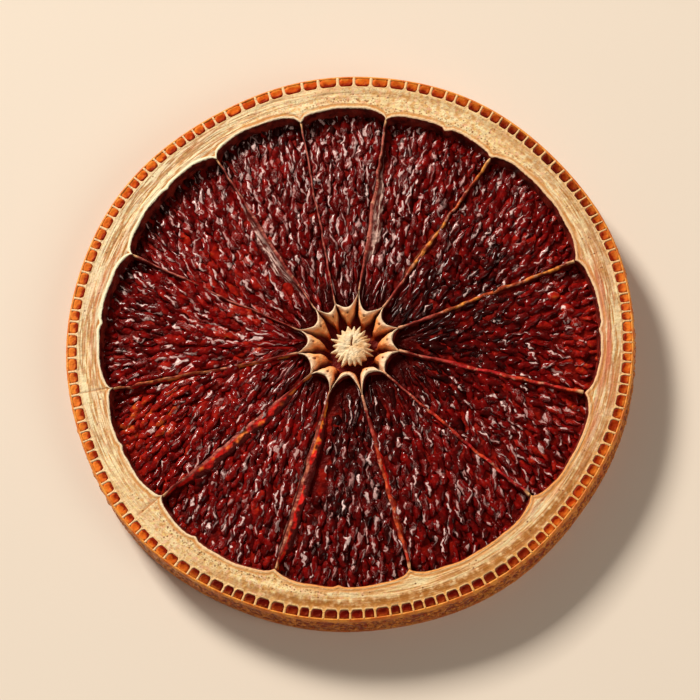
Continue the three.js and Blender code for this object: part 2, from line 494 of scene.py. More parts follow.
def oil_mesh():
    """A gland's dried oil, 1 wide and 1 long, and a little sunken in its middle."""
    around = np.radians(np.linspace(0, 360, OIL_SIDES, endpoint=False))
    square = (np.cos(around) ** 6 + np.sin(around) ** 6) ** (-1 / 6)
    rings = ((1.0, -1.0), (1.0, -0.2), (0.93, 0.0), (0.55, -0.14))
    points = [
        (size * s * np.cos(a) / 2, size * s * np.sin(a) / 2, level)
        for size, level in rings
        for a, s in zip(around, square)
    ]
    points += [(0, 0, -1.0), (0, 0, -0.2)]
    last = OIL_SIDES * (len(rings) - 1)
    faces = []
    for a in range(OIL_SIDES):
        b = (a + 1) % OIL_SIDES
        for r in range(0, last, OIL_SIDES):
            faces.append((a + r, b + r, b + r + OIL_SIDES, a + r + OIL_SIDES))
        faces += [(b, a, len(points) - 2), (a + last, b + last, len(points) - 1)]
    mesh = smooth_mesh("gland_oil", points, faces)
    set_mark(mesh, "reach", [point[1] + 0.5 for point in points])
    return mesh


def glands_tree():
    """Puts one copy of the dried oil at each gland's place."""
    tree, given, out = geometry_tree(
        "oil_glands", {"Dried Oil": "Object", "Seed": "Int", "Oil Finish": "Material"}
    )
    turn = node(tree, "FunctionNodeEulerToRotation", {0: named(tree, "turn", "FLOAT_VECTOR")})
    oil = node(tree, "GeometryNodeObjectInfo", {"Object": given.outputs["Dried Oil"]})
    inputs = {
        "Points": given.outputs["Geometry"],
        "Instance": oil.outputs["Geometry"],
        "Rotation": turn.outputs[0],
        "Scale": named(tree, "size", "FLOAT_VECTOR"),
    }
    copies = node(tree, "GeometryNodeInstanceOnPoints", inputs).outputs[0]
    inputs = {"Seed": given.outputs["Seed"]}
    tint = node(tree, "FunctionNodeRandomValue", inputs, data_type="FLOAT").outputs[1]
    worn(stored(copies, "tint", tint, "FLOAT", "INSTANCE"), given.outputs["Oil Finish"], out)
    return tree


def oil_finish():
    material, tree = finish(
        "dried_oil", 0.42, specular_tint=(1.0, 0.3, 0.1, 1.0), specular_ior_level=0.15
    )
    tint, reach, dark, gold = marks_on(tree, "tint", "reach", "dark", "gold")
    fresh = blended(tint, (0.58, 0.05, 0.004), (0.8, 0.16, 0.012))
    fresh = blended(times(gold, 0.7), fresh, (0.84, 0.24, 0.035))
    # The dark mark turns the oil brown, partly as painted shade round the bottom and lower right.
    brown = blended(tint, (0.09, 0.002, 0.001), (0.17, 0.005, 0.001))
    inner = blended(dark, (0.26, 0.012, 0.002), (0.07, 0.001, 0.001))
    depth = maths("ADD", reach, ease(grain(tree, 1.4), 0.3, 0.7, -0.2, 0.2))
    colour = blended(ease(depth, 0.15, 0.6), inner, blended(dark, fresh, brown))
    bright = times(ease(depth, 0.65, 1.0), ease(dark, 0.0, 1.0, 0.7, 0.22))
    colour = blended(bright, colour, (0.8, 0.26, 0.03))
    return dressed(material, colour, grain(tree, 3.0), 0.08)


gland_bearing = (gland_ends[:-1] + gland_ends[1:]) / 2
gland_width = np.radians(np.diff(gland_ends)) * (FRUIT_RADIUS - SKIN - GLAND_ROW / 2)
gland_radius = rim(gland_bearing) - SKIN - GLAND_ROW / 2 + OIL_OVERLAP / 2
gland_drop = OIL_DROP + gland_draw.uniform(-0.02, 0.05, GLANDS)
gland_height = np.concatenate([face_height(gland_bearing) - gland_drop, gland_drop])
gland_points = placed(np.tile(gland_bearing, 2), np.tile(gland_radius, 2), gland_height)
gland_turn = np.zeros((2 * GLANDS, 3))
gland_turn[:, 2] = np.radians(-np.tile(gland_bearing, 2))
gland_turn[GLANDS:, 1] = np.pi  # the underside's oil faces down
gland_size = np.full((2 * GLANDS, 3), OIL_HEIGHT)
gland_size[:, 0] = np.tile(gland_width * (1 - GLAND_WALL), 2)
gland_size[:, 1] = GLAND_ROW + OIL_OVERLAP
gland_dark_and_shaded = np.clip(patchy(gland_bearing, DARK_AND_SHADED_GLANDS), 0, 1)
gland_dark_and_shaded = np.clip(gland_dark_and_shaded + gland_draw.uniform(-0.12, 0.12, GLANDS), 0, 1)
places = bpy.data.meshes.new("gland_places")
places.from_pydata(gland_points.tolist(), [], [])
set_mark(places, "turn", gland_turn, "FLOAT_VECTOR", "vector")
set_mark(places, "size", gland_size * MM, "FLOAT_VECTOR", "vector")
set_mark(places, "dark", np.tile(gland_dark_and_shaded, 2))
set_mark(places, "gold", np.tile(patchy(gland_bearing, GOLD_GLANDS), 2))
oil = added("gland_oil", oil_mesh())
glands = nodes_piece(
    "oil_glands",
    added("gland_places", places),
    glands_tree(),
    {"Dried Oil": oil, "Seed": 3, "Oil Finish": oil_finish()},
)
bpy.data.objects.remove(oil)
hold(glands)


# ---- Pith ring ----
# The white spongy layer inside the peel, dried to a firm cream ring. It stands highest in a thin
# lip along the scalloped edge of the flesh. Drying has drawn it into orange streaks along the
# ring, browned a band beside the glands, and left rows of small pores and a few cracks.

# Each membrane, in order round the slice, and the wedge that follows it: the membrane's bearing
# at the rind and at the core, its fork's radius, and the inner and outer ends of the wedge.
WEDGES = (
    (8, 8, 6.6, 3.9, 28.6),
    (36, 42, 5.9, 4.3, 29.0),
    (70, 74, 6.1, 4.7, 29.25),
    (103.5, 102, 6.1, 4.7, 29.25),
    (132, 134, 5.8, 4.3, 29.1),
    (165.5, 168, 7.0, 4.05, 29.0),
    (197, 201.5, 6.9, 5.0, 29.0),
    (229.5, 230, 6.3, 5.2, 28.85),
    (259, 258, 6.7, 4.9, 29.15),
    (293, 284, 6.6, 4.5, 29.15),
    (324.5, 314, 6.1, 4.2, 29.2),
    (347, 338, 5.2, 4.05, 29.0),
)
CUSP_RADIUS = 27.6
NOTCHES = ((23, 0.4), (88, 0.25), (182, 0.25), (217, 0.3), (245, 0.25), (275, 0.3), (311, 0.25))
CRACKS = ((229.6, 1.0), (259.2, 0.7), (324.8, 0.8), (165.4, 0.4), (8.1, 0.5))
rind_bearings, core_bearings, fork_radii, tip_radii, scallop_radii = map(np.array, zip(*WEDGES))
WALL_RUN = 0.4
WALL_DEPTH = 2.4  # the wall's hidden foot, under the flesh
FACE_STATIONS = 14
FACE_GAP = 0.12  # from the face's last station to the row of glands
LIP_WIDTH = 0.62
GUSSET = 0.3  # how far the pith reaches out between two glands
CRACK_DEPTH = 0.08
STREAKY = ((1.0, 300, 75), (0.15, 240, 42), (0.6, 85, 55))
MOTTLED = ((0.9, 207, 45), (0.8, 15, 60))
BROWNED = ((1.5, 156, 82), (0.5, 50, 45), (0.3, 15, 25), (0.35, 85, 35))
BLUSH = ((1.1, 90, 36), (0.4, 130, 40), (0.65, 275, 35), (0.3, 345, 25))
PITH_MARKS = (
    *("from_lip", "from_row", "wall", "pit", "rib", "crack"),
    *("streaky", "mottled", "browned", "blush"),
)


def round_end(share, square=2.0):
    """A wedge's rounded end: 0 beside its membranes and 1 at its middle."""
    return np.maximum(0, 1 - np.abs(2 * share - 1) ** square) ** (1 / square)


def flesh_end(bearing):
    """Radius of the scalloped edge between flesh and pith, on bearings at the rind."""
    turned = (bearing - rind_bearings[0]) % 360
    starts = rind_bearings - rind_bearings[0]
    wedge = np.searchsorted(starts, turned, side="right") - 1
    width = np.diff(np.append(starts, 360))[wedge]
    bulge = round_end((turned - starts[wedge]) / width, 2.6)
    edge = CUSP_RADIUS + (scallop_radii[wedge] - CUSP_RADIUS) * bulge + shift(bearing)
    for notch, size in NOTCHES:
        edge = edge - size * np.exp(-(((bearing - notch) / 0.8) ** 2))
    return edge + 0.06 * np.sin(np.radians(37 * bearing)) * np.sin(np.radians(11 * bearing))


def rough(points, size, detail=1):
    """Smooth noise from about -1 to 1 at points in mm, with bumps about size mm across."""
    flat = points.reshape(-1, 3) / size
    found = [noise.fractal(Vector(p), 0.8, 2.1, detail) for p in flat.tolist()]
    return np.array(found).reshape(points.shape[:-1])


def streaks_round(bearing, radius, along, across, seed):
    """Noise that runs round the slice, in streaks of this length and width in mm."""
    turn = np.radians(bearing)
    ring = FRUIT_RADIUS / along
    spots = (ring * np.sin(turn), ring * np.cos(turn), radius / across + seed)
    return rough(np.stack(np.broadcast_arrays(*spots), -1), 1, 2)


def both_faces(upper):
    """The upper face's rings, and then the same rings back again for the lower face."""
    return np.concatenate([upper, upper[:, ::-1]], 1)


def both_heights(top, depth):
    """Heights of both faces' rings, this deep in a slice whose upper face is at top."""
    return np.concatenate([top - depth, depth[:, ::-1]], 1)


def streaks_group():
    """Streaks from 0 to 1 that run round the slice, so long and so wide in mm."""
    sockets = {"Length": "Float", "Width": "Float"}
    tree, given, out = node_group("ring_streaks", "ShaderNodeTree", sockets, {"Streaks": "Float"})
    from_core = vector_maths("SUBTRACT", place_in_mm(tree), (CORE[0], CORE[1], 0.0))
    flat = vector_maths("MULTIPLY", from_core, (1.0, 1.0, 0.0))
    often = maths("DIVIDE", FRUIT_RADIUS, given.outputs["Length"])
    turn = scaled(vector_maths("NORMALIZE", flat), often)
    out_by = maths("DIVIDE", vector_maths("LENGTH", flat), given.outputs["Width"])
    found = noise_at(vector_maths("ADD", turn, xyz(z=out_by)), detail=3.0)["Fac"]
    tree.links.new(found, out.inputs["Streaks"])
    return tree


def juice_group():
    """The colour of pith that the juice has soaked and dried on."""
    sockets = {"Per Millimetre": "Float"}
    tree, given, out = node_group("juice_stain", "ShaderNodeTree", sockets, {"Stain": "Color"})
    thick = ease(grain(tree, given.outputs["Per Millimetre"]), 0.35, 0.65)
    stain = blended(thick, (0.055, 0.004, 0.004), (0.24, 0.02, 0.012))
    tree.links.new(stain, out.inputs["Stain"])
    return tree


STREAKS = streaks_group()
JUICE_STAIN = juice_group()


def streaks(tree, length, width, start, end):
    inputs = {"Length": length, "Width": width}
    found = node(tree, "ShaderNodeGroup", inputs, node_tree=STREAKS).outputs["Streaks"]
    return ease(found, start, end)


def juice_stain(tree):
    inputs = {"Per Millimetre": 0.9}
    return node(tree, "ShaderNodeGroup", inputs, node_tree=JUICE_STAIN).outputs["Stain"]


def soaked(tree, colour, wall):
    """Pith that turns, over a ragged edge, into wall that the juice has soaked."""
    ragged = maths("ADD", wall, ease(grain(tree, 2.0), 0.3, 0.7, -0.2, 0.2))
    return blended(ease(ragged, 0.3, 0.6), colour, juice_stain(tree))


def pith_tone(tree, from_row, streaky, mottled, browned):
    """How pale the pith is, in streaks round the ring at some bearings and in spots at others."""
    fine = streaks(tree, 3.5, 0.2, 0.25, 0.75)
    spots = ease(grain(tree, 1.7, 2.5), 0.25, 0.75, 0.08, 0.95)
    tone = node(tree, "ShaderNodeMix", {0: mottled, 2: fine, 3: spots}).outputs[0]
    tone = maths("SUBTRACT", tone, times(browned, ease(from_row, 1.6, 0.8, 0.05, 0.3)))
    return maths("ADD", tone, times(streaky, ease(from_row, 1.3, 0.6), 0.22))


def streaked_pith(tree, tone, thin, streaky, mottled):
    """The dry pith's colour: cream with tan and brown in it, streaks and flecks."""
    patch = ease(grain(tree, 0.22, 2.0), 0.35, 0.65)
    cream = blended(patch, (0.885, 0.655, 0.32), (0.92, 0.785, 0.45))
    tan = blended(mottled, (0.8, 0.44, 0.18), (0.84, 0.52, 0.23))
    brown = blended(mottled, (0.5, 0.22, 0.06), (0.66, 0.36, 0.12))
    # The streaks are pale bands, yellowish and pinkish by turns, with thin brown lines between.
    pale = blended(streaks(tree, 9.0, 0.9, 0.42, 0.58), (0.93, 0.75, 0.5), (0.97, 0.87, 0.55))
    off_line = maths("SUBTRACT", streaks(tree, 9.0, 0.8, 0.0, 1.0), 0.5)
    line = ease(maths("ABSOLUTE", off_line), 0.085, 0.025)
    colour = layered(
        tan,
        (ease(tone, 0.3, 0.62), cream),
        (ease(tone, 0.34, 0.1), brown),
        (times(streaky, ease(tone, 0.2, 0.5), 0.85), pale),
        (times(line, ease(streaky, 0.0, 1.0, 0.2, 0.85)), (0.46, 0.18, 0.04)),
        (thin, (0.5, 0.16, 0.035)),
    )
    pink, yellow, dark = (0.86, 0.44, 0.28), (0.9, 0.72, 0.26), (0.4, 0.17, 0.04)
    for per_mm, fleck in ((1.9, pink), (2.7, yellow), (3.4, dark)):
        flecks = ease(grain(tree, per_mm, 1.0), 0.56, 0.68)
        colour = blended(times(flecks, ease(mottled, 0.0, 1.0, 0.25, 0.6)), colour, fleck)
    return colour


def pith_finish():
    material, tree = finish("dried_pith", 0.72, specular_tint=(1.0, 0.6, 0.4, 1.0))
    from_lip, from_row, wall, pit, rib, crack, streaky, mottled, browned, blush = marks_on(
        tree, *PITH_MARKS
    )
    tone = pith_tone(tree, from_row, streaky, mottled, browned)
    thin = times(streaks(tree, 5.0, 0.13, 0.56, 0.7), ease(streaky, 0.0, 1.0, 0.2, 0.85))
    # The browned band beside the glands, the pores along the middle and beside the lip, the
    # blush of juice, and the gold line beside the lip.
    in_band = times(ease(from_row, 1.5, 0.85), ease(from_row, 0.12, 0.4))
    band_grain = ease(grain(tree, 1.3, 4.0), 0.34, 0.56, 0.4, 1.0)
    pore = ease(cells_at(place_in_mm(tree), 1.5), 0.22, 0.08)
    pore = times(pore, ease(from_lip, 0.5, 0.9), ease(from_row, 0.5, 0.9))
    pore = times(pore, ease(grain(tree, 0.3, 1.0), 0.42, 0.55))
    dots = ease(cells_at(place_in_mm(tree), 2.3, dimensions="2D"), 0.3, 0.15)
    dots = times(dots, ease(from_lip, 0.5, 0.7), ease(from_lip, 1.3, 1.0))
    stain = times(streaks(tree, 7.0, 0.45, 0.42, 0.6), ease(from_lip, 1.7, 0.8, 0.4, 0.9))
    gold = times(ease(from_lip, 0.24, 0.4), ease(from_lip, 0.72, 0.5))
    bright = ease(streaky, 0.72, 1.0)
    edge = times(bright, ease(from_lip, 1.1, 0.4), ease(tone, 0.3, 0.7), 0.8)
    inward = maths("SUBTRACT", from_lip, times(bright, 0.14))
    lip = blended(browned, (0.96, 0.78, 0.52), (0.82, 0.34, 0.09))
    ribs = blended(browned, (0.9, 0.64, 0.36), (0.8, 0.4, 0.1))
    colour = layered(
        streaked_pith(tree, tone, thin, streaky, mottled),
        (times(in_band, browned, band_grain), (0.35, 0.125, 0.017)),
        (times(pore, 0.85), (0.26, 0.07, 0.02)),
        (times(dots, ease(mottled, 0.3, 0.8), 0.8), (0.24, 0.09, 0.02)),
        (times(blush, stain), (0.66, 0.18, 0.09)),
        (times(gold, streaks(tree, 6.0, 0.9, 0.3, 0.5), 0.8), (0.62, 0.24, 0.05)),
        (edge, (0.97, 0.86, 0.58)),
        (ease(inward, 0.3, 0.12), blended(bright, lip, (1.0, 0.95, 0.66))),
        (ease(from_row, 0.22, 0.04), (0.88, 0.56, 0.25)),
        (times(crack, 0.9), (0.44, 0.15, 0.035)),
        (ease(pit, 0.08, 0.35), (0.36, 0.05, 0.01)),
        (times(rib, 0.8), ribs),
    )
    height = maths("ADD", times(grain(tree, 3.5, 4.0), 0.6), times(tone, 0.25))
    height = maths("SUBTRACT", height, times(maths("MAXIMUM", pore, thin), 0.35))
    gloss = ease(wall, 0.3, 0.6, 0.72, 0.32)
    return dressed(material, soaked(tree, colour, wall), height, 0.15, gloss)


# Columns across a gland lie closest together at its walls.
within = np.array((0, 0.06, 0.1, 0.14, 0.22, 0.5, 0.78, 0.86, 0.9, 0.94))
pith_bearing = (gland_ends[:-1, None] + np.diff(gland_ends)[:, None] * within).reshape(-1, 1)
in_gland = np.tile(0.5 - np.abs(within - 0.5), GLANDS)[:, None]
pit_here = GLAND_PIT * eased(in_gland, GLAND_WALL * 0.5, GLAND_WALL * 1.3)
lip_at = flesh_end(pith_bearing)
row_end = rim(pith_bearing) - SKIN
row_start = row_end - GLAND_ROW + GUSSET * (1 - eased(in_gland, 0.03, 0.2))
share = np.linspace(0, 1, FACE_STATIONS)[None, :]
face_radius = lip_at + LIP_WIDTH + (row_start - FACE_GAP - lip_at - LIP_WIDTH) * share
dish = 0.05 + 0.07 * np.sin(np.pi * share) ** 0.7
streak_relief = 0.06 * streaks_round(pith_bearing, face_radius, 7.0, 0.45, 3.0)
lump_relief = 0.05 * streaks_round(pith_bearing, face_radius, 1.6, 0.8, 11.0)
face_depth = np.maximum(dish + streak_relief + lump_relief, 0.0)
one = np.ones_like(lip_at)
wavy = 0.04 * streaks_round(pith_bearing, lip_at, 2.2, 1.0, 23.0)
lean = 0.1 * streaks_round(pith_bearing, lip_at, 1.2, 1.0, 31.0)
stations = (
    # radius, depth, wall, pit
    (lip_at - WALL_RUN - 0.3, WALL_DEPTH * one, 1, 0),
    (lip_at - WALL_RUN + lean, 1.6 * one, 1, 0),
    (lip_at - 0.22 + lean, 0.8 * one, 1, 0),
    (lip_at - 0.1, 0.32 * one, 1, 0),
    (lip_at - 0.02, 0.12 + wavy, 0.55, 0),
    (lip_at + 0.08, 0.03 + wavy, 0, 0),
    (lip_at + 0.2, 0.02 + np.maximum(wavy, 0), 0, 0),
    (lip_at + 0.36, 0.08 + wavy, 0, 0),
    (lip_at + 0.48, 0.12 + wavy, 0, 0),
    (face_radius, face_depth, 0, 0),
    (row_start - 0.05, 0.05 + wavy, 0, 0),
    (row_start + 0.02, 0.04 + 0.35 * pit_here, 0, 0.3),
    (row_start + 0.07, 0.05 + pit_here, 0, 1),
    ((row_start + row_end) / 2, 0.05 + pit_here, 0, 1),
    (row_end - 0.04, 0.05 + pit_here, 0, 1),
    (row_end + 0.1, 0.05 + pit_here, 0, 1),
    (row_end + 0.12, PEEL_TUCK * one, 0, 1),
)
radius, depth, wall, pit = (
    np.concatenate([station[i] + 0 * station[0] for station in stations], 1) for i in range(4)
)
pit = np.clip(pit * (depth - 0.06) / GLAND_PIT, 0, 1)
rib = (1 - eased(in_gland, 0.03, 0.2)) * eased(radius, row_start - 1.0, row_start)
crack = sum(size * np.exp(-(((pith_bearing - at) / 0.18) ** 2)) for at, size in CRACKS)
crack = crack * eased(radius, lip_at, lip_at + 0.4) * eased(row_start - 0.2 - radius, 0, 0.6)
depth = depth + CRACK_DEPTH * crack
pith_values = (
    *(radius - lip_at, np.maximum(row_start - radius, 0), wall, pit, rib, crack),
    np.clip(patchy(pith_bearing, STREAKY) + 0.2, 0, 1),
    np.clip(patchy(pith_bearing, MOTTLED) + 0.15, 0, 1),
    np.clip(patchy(pith_bearing, BROWNED), 0, 1),
    patchy(pith_bearing, BLUSH),
)
pith_height = both_heights(face_height(pith_bearing), depth)
pith = band(
    "pith_ring",
    placed(pith_bearing, both_faces(radius), pith_height),
    {mark: both_faces(value + 0 * radius) for mark, value in zip(PITH_MARKS, pith_values)},
)
hold(pith, pith_finish())


# ---- Flesh ----
# The sheet of dried flesh that spans the rind, sunk well below both cut faces. It is nearly all
# hidden by the juice sacs that dried onto it, and shows as a dark red floor between them. Towards
# the core the floor is painted darker, as shade.

ACROSS = 24  # columns of a wedge
FLESH_RINGS = 26
FLESH_DEPTH = 1.1
MOAT_DEPTH = 1.8  # beside the rind
CROWN = 0.2
DEEP_RED = (1.0, 0.35, 0.28, 1.0)  # the tint of the light that the dried juice throws back


def membrane_bearing(wedge, radius):
    """A membrane's bearing at a radius. It runs straight from its fork to the rind."""
    turned = np.radians(core_bearings[wedge] - rind_bearings[wedge])
    fork = fork_radii[wedge]
    share = np.clip((radius - fork) / (CUSP_RADIUS - fork), 0, 1)
    across = fork * np.sin(turned) * (1 - share)
    out = fork * np.cos(turned) * (1 - share) + CUSP_RADIUS * share
    return rind_bearings[wedge] + np.degrees(np.arctan2(across, out))


def wedge_bearing(wedge, share, radius):
    """The bearing at a radius, at a share of the way across a wedge."""
    after = (wedge + 1) % len(WEDGES)
    left, right = membrane_bearing(wedge, radius), membrane_bearing(after, radius)
    return left + ((right - left) % 360) * share


def tip_radius(wedge, share):
    """Radius of the wedge's rounded inner end, at a share of the way across."""
    after = (wedge + 1) % len(WEDGES)
    fork = fork_radii[wedge] + (fork_radii[after] - fork_radii[wedge]) * share
    return fork + (tip_radii[wedge] - fork) * round_end(share)


def flesh_depth(share, along):
    """Depth of the flesh below the cut face: least in a wedge's middle, most beside the rind."""
    middle = round_end(share, 2.6) * eased(along, 0, 0.2) * eased(1 - along, 0, 0.3)
    return FLESH_DEPTH + (MOAT_DEPTH - FLESH_DEPTH) * eased(along, 0.6, 1) - CROWN * middle


def wedge_grid(shares, alongs, inner_gap, outer_gap):
    """Bearing, radius, share and along of a grid over every wedge, as arrays [column, ring]."""
    found = []
    for wedge in range(len(WEDGES)):
        for share in shares:
            tip = tip_radius(wedge, share) + inner_gap
            end = flesh_end(wedge_bearing(wedge, share, CUSP_RADIUS)) + outer_gap
            radius = tip + (end - tip) * alongs
            bearing = wedge_bearing(wedge, share, radius)
            found.append((bearing, radius, share + 0 * alongs, alongs))
    return [np.array(column) for column in zip(*found)]


def flesh_finish():
    material, tree = finish(
        "dried_flesh", 0.35, specular_tint=DEEP_RED, specular_ior_level=0.08
    )
    red = ease(grain(tree, 0.7), 0.4, 0.7)
    colour = blended(red, (0.07, 0.002, 0.002), (0.26, 0.007, 0.003))
    # Painted shade: the floor is darker towards the core.
    inner = times(marks_on(tree, "inner")[0], 0.85)
    colour = blended(inner, colour, (0.02, 0.0006, 0.0006))
    return dressed(material, colour, grain(tree, 2.2), 0.2)


bed_bearing, bed_radius, bed_share, bed_along = wedge_grid(
    np.linspace(0, 1, ACROSS, endpoint=False), np.linspace(0, 1, FLESH_RINGS), -0.3, 0.4
)
bed_depth = flesh_depth(bed_share, bed_along)
bed_lumps = 0.12 * rough(placed(bed_bearing, bed_radius, 0 * bed_radius) / MM, 1.3, 2)
upper_bed = face_height(bed_bearing) - bed_depth + bed_lumps
bed_height = np.concatenate([upper_bed, (bed_depth + bed_lumps)[:, ::-1]], 1)
flesh = band(
    "flesh",
    placed(both_faces(bed_bearing), both_faces(bed_radius), bed_height),
    {"inner": both_faces(1 - eased(bed_radius, 6, 11))},
)
hold(flesh, flesh_finish())


# ---- Membranes ----
# The skins between the wedges. They didn't shrink as far as the flesh, so each stands up from
# the flesh as a thin wavy wall from the fork at the core to the rind, on both faces. Some have
# slumped to one side in drying, and show a broad thin flank.

# Of each membrane: how far its foot spreads, in mm, before and after it; how thick its ridge is,
# in mm; its hue, from 0, pinkish, over 0.5, golden orange, to 1, red; and how far the side before
# it is painted with a red glow, as of light shining through it, from 0 to 1.
MEMBRANES = (
    (0.4, 1.5, 0.2, 0.15, 0),
    (0.8, 0.5, 0.26, 0.5, 0),
    (0.5, 0.6, 0.3, 0.5, 0.2),
    (0.5, 0.4, 0.32, 0.85, 0.6),
    (0.3, 0.3, 0.3, 1, 0.3),
    (0.6, 0.4, 0.34, 0.75, 0.8),
    (1.0, 0.8, 0.18, 0.2, 1),
    (1.2, 0.5, 0.16, 0.1, 0.8),
    (0.6, 0.4, 0.18, 0.3, 0.6),
    (0.3, 0.3, 0.16, 0.1, 0.2),
    (1.5, 0.35, 0.16, 0.05, 0),
    (0.3, 0.5, 0.16, 0.05, 0),
)
MEMBRANE_STEPS = 100
RIDGE_DEPTH = 0.22
RIDGE_SAG = 0.16
MEMBRANE_MARKS = ("along", "ridge", "hue", "flare", "down", "glow")


def foot_spread(foot, glow, along):
    """How far a membrane's foot reaches out, along its way from the core to the rind."""
    return 0.2 + (foot - 0.2) * eased(along, 0, 0.3) * eased(1 - along, 0.02, 0.6 - 0.45 * glow)


def membrane_finish():
    material, tree = finish(
        "dried_membrane", 0.4, specular_tint=DEEP_RED, specular_ior_level=0.25
    )
    along, ridge, hue, flare, down, glow = marks_on(tree, *MEMBRANE_MARKS)
    patches = ease(grain(tree, 0.45, 2.0), 0.4, 0.6)
    golden = blended(patches, (0.55, 0.09, 0.02), (0.82, 0.31, 0.045))
    red = blended(patches, (0.46, 0.012, 0.016), (0.64, 0.06, 0.018))
    colour = layered(
        blended(ease(hue, 0.1, 0.45), (0.45, 0.11, 0.085), golden),
        (ease(hue, 0.55, 0.8), red),
        (ease(along, 0.38, 0.12), (0.38, 0.06, 0.045)),
        (times(ease(grain(tree, 0.7, 2.0), 0.5, 0.6), 0.7), (0.2, 0.008, 0.006)),
        (times(ease(grain(tree, 1.1, 2.0), 0.42, 0.62), 0.75), (0.14, 0.01, 0.007)),
        (times(ease(grain(tree, 1.7, 2.0), 0.56, 0.66), 0.5), (0.72, 0.36, 0.22)),
        (ease(along, 0.95, 1.0), (0.76, 0.44, 0.2)),
        (ease(along, 0.06, 0.01), (0.75, 0.36, 0.2)),
    )
    # Along a slumped flank run pale creases, partly pale skin and partly painted glints, over thin
    # dark red skin.
    spot = xyz(times(down, 8.0), times(along, 14.0), times(hue, 9.0))
    creases = ease(noise_at(spot, detail=4.0)["Fac"], 0.42, 0.54)
    creases = times(creases, ease(grain(tree, 0.8, 2.0), 0.33, 0.46), ease(glow, 0.5, 0.1))
    crease = blended(ease(hue, 0.1, 0.3), (0.78, 0.52, 0.45), (0.42, 0.22, 0.07))
    skin = blended(ease(glow, 0.0, 0.5), (0.12, 0.02, 0.016), (0.05, 0.002, 0.002))
    dark = blended(ease(hue, 0.3, 0.9), (0.06, 0.003, 0.002), (0.26, 0.008, 0.004))
    # Painted glow: on the side before some membranes, the flank is painted bright red and orange,
    # as if lit through the thin skin.
    painted_glow = ease(grain(tree, 0.6, 2.0), 0.53, 0.64)
    painted_glow = blended(painted_glow, (0.72, 0.012, 0.008), (1.0, 0.24, 0.03))
    fading = maths("ADD", down, ease(grain(tree, 0.9, 2.0), 0.3, 0.7, -0.3, 0.3))
    painted_glow_share = times(glow, ease(grain(tree, 0.35), 0.36, 0.5), ease(fading, 0.7, 0.25))
    flank = layered(
        dark,
        (flare, blended(creases, skin, crease)),
        (painted_glow_share, painted_glow),
        (ease(fading, 0.7, 1.0), (0.07, 0.003, 0.003)),
    )
    colour = blended(ease(ridge, 0.3, 0.8), flank, colour)
    height = maths("ADD", grain(tree, 2.4), times(creases, 0.5))
    return dressed(material, colour, height, 0.14)


def membrane_body(index):
    """A membrane's points [step, place round it] and marks, from the upper ridge round."""
    before, after, thick, hue, glow = MEMBRANES[index]
    along = np.linspace(0, 1, MEMBRANE_STEPS)[:, None]
    start = fork_radii[index] - 0.35
    radius = start + (flesh_end(rind_bearings[index]) + 0.25 - start) * along
    bearing = membrane_bearing(index, radius)
    here = placed(bearing, radius, 10.0 * index) / MM
    sway = 0.2 * rough(here, 2.6, 2) + 0.06 * rough(here + 40, 0.8)
    sway = sway * eased(along, 0, 0.4) * eased(1 - along, 0, 0.05)
    half = thick / 2 * (1 + 0.6 * rough(here + 70, 0.7, 2)) * (0.7 + 0.3 * eased(along, 0, 0.4))
    before = np.maximum(foot_spread(before, glow, along), half)
    after = np.maximum(foot_spread(after, glow, along), half)
    # Down one side: share of the way out from the ridge to the foot, share of the way down, and
    # the ridge mark.
    profile = ((0, 0, 1), (0.1, 0.14, 0.6), (0.3, 0.34, 0.2), (0.62, 0.62, 0), (1, 1, 0))
    ridge_depth = RIDGE_DEPTH + 0.18 * eased(along, 0, 0.12) * eased(1 - along, 0, 0.1)
    ridge_depth += RIDGE_SAG * np.sin(np.pi * along) + 0.16 * rough(here + 90, 1.4, 2)
    ridge_depth = np.maximum(ridge_depth, 0.06)
    upper, lower, marks = [], [], []
    for way, foot in ((1, after), (-1, before)):
        # A slumped flank lies over the juice sacs, and a steep one runs down between them.
        # The side before the membrane carries its painted glow, and is slumped further with it.
        painted_glow = glow * (way < 0)
        foot_depth = flesh_depth(0.0, along) + 0.25 - 0.8 * eased(foot + 0.6 * painted_glow, 0.7, 1.6)
        for out, down, ridge in profile:
            offset = half + (foot - half) * out
            wrinkle = 0.1 * rough(here + 5 * down + 30 * way, 0.9, 2) * np.sin(np.pi * out)
            depth = ridge_depth + (foot_depth - ridge_depth) * down + wrinkle
            turned = bearing + np.degrees((way * offset + sway) / radius)
            upper.append(placed(turned, radius, face_height(bearing) - depth))
            lower.append(placed(turned, radius, depth))
            marks.append((along, ridge, hue, eased(foot * out, 0.25, 0.7), down, painted_glow))
    # Down the after side on the upper face, up it again on the lower, and back on the before side.
    side = len(profile)
    after_side, before_side = range(side), range(side, 2 * side)
    order = [*after_side, *after_side[::-1], *before_side, *before_side[::-1]]
    faces_of = [upper] * side + [lower] * 2 * side + [upper] * side
    points = np.concatenate([rows[place] for rows, place in zip(faces_of, order)], 1)
    marks = np.array([[m + 0 * along for m in marks[place]] for place in order])
    return points, marks[..., 0].transpose(1, 2, 0)


points, faces, marks = [], [], []
for index in range(len(MEMBRANES)):
    body, body_marks = membrane_body(index)
    steps, places = body.shape[:2]
    first = sum(len(p) for p in points)
    step, place = np.mgrid[0 : steps - 1, 0:places]
    beside = (place + 1) % places
    corners = ((step, place), (step, beside), (step + 1, beside), (step + 1, place))
    quads = np.stack([first + s * places + p for s, p in corners], -1).reshape(-1, 4)
    # Each end is closed by a strip of faces between its two sides.
    rung = np.arange(places // 2 - 1)
    cap = np.stack([rung + 1, rung, places - 1 - rung, places - 2 - rung], -1)
    last = first + (steps - 1) * places
    points.append(body.reshape(-1, 3))
    faces += [quads, first + cap, last + cap[:, ::-1]]
    marks.append(body_marks.reshape(len(MEMBRANE_MARKS), -1))
membranes = mesh_piece(
    "membranes",
    np.concatenate(points),
    np.concatenate(faces),
    dict(zip(MEMBRANE_MARKS, np.concatenate(marks, 1))),
)
hold(membranes, membrane_finish())
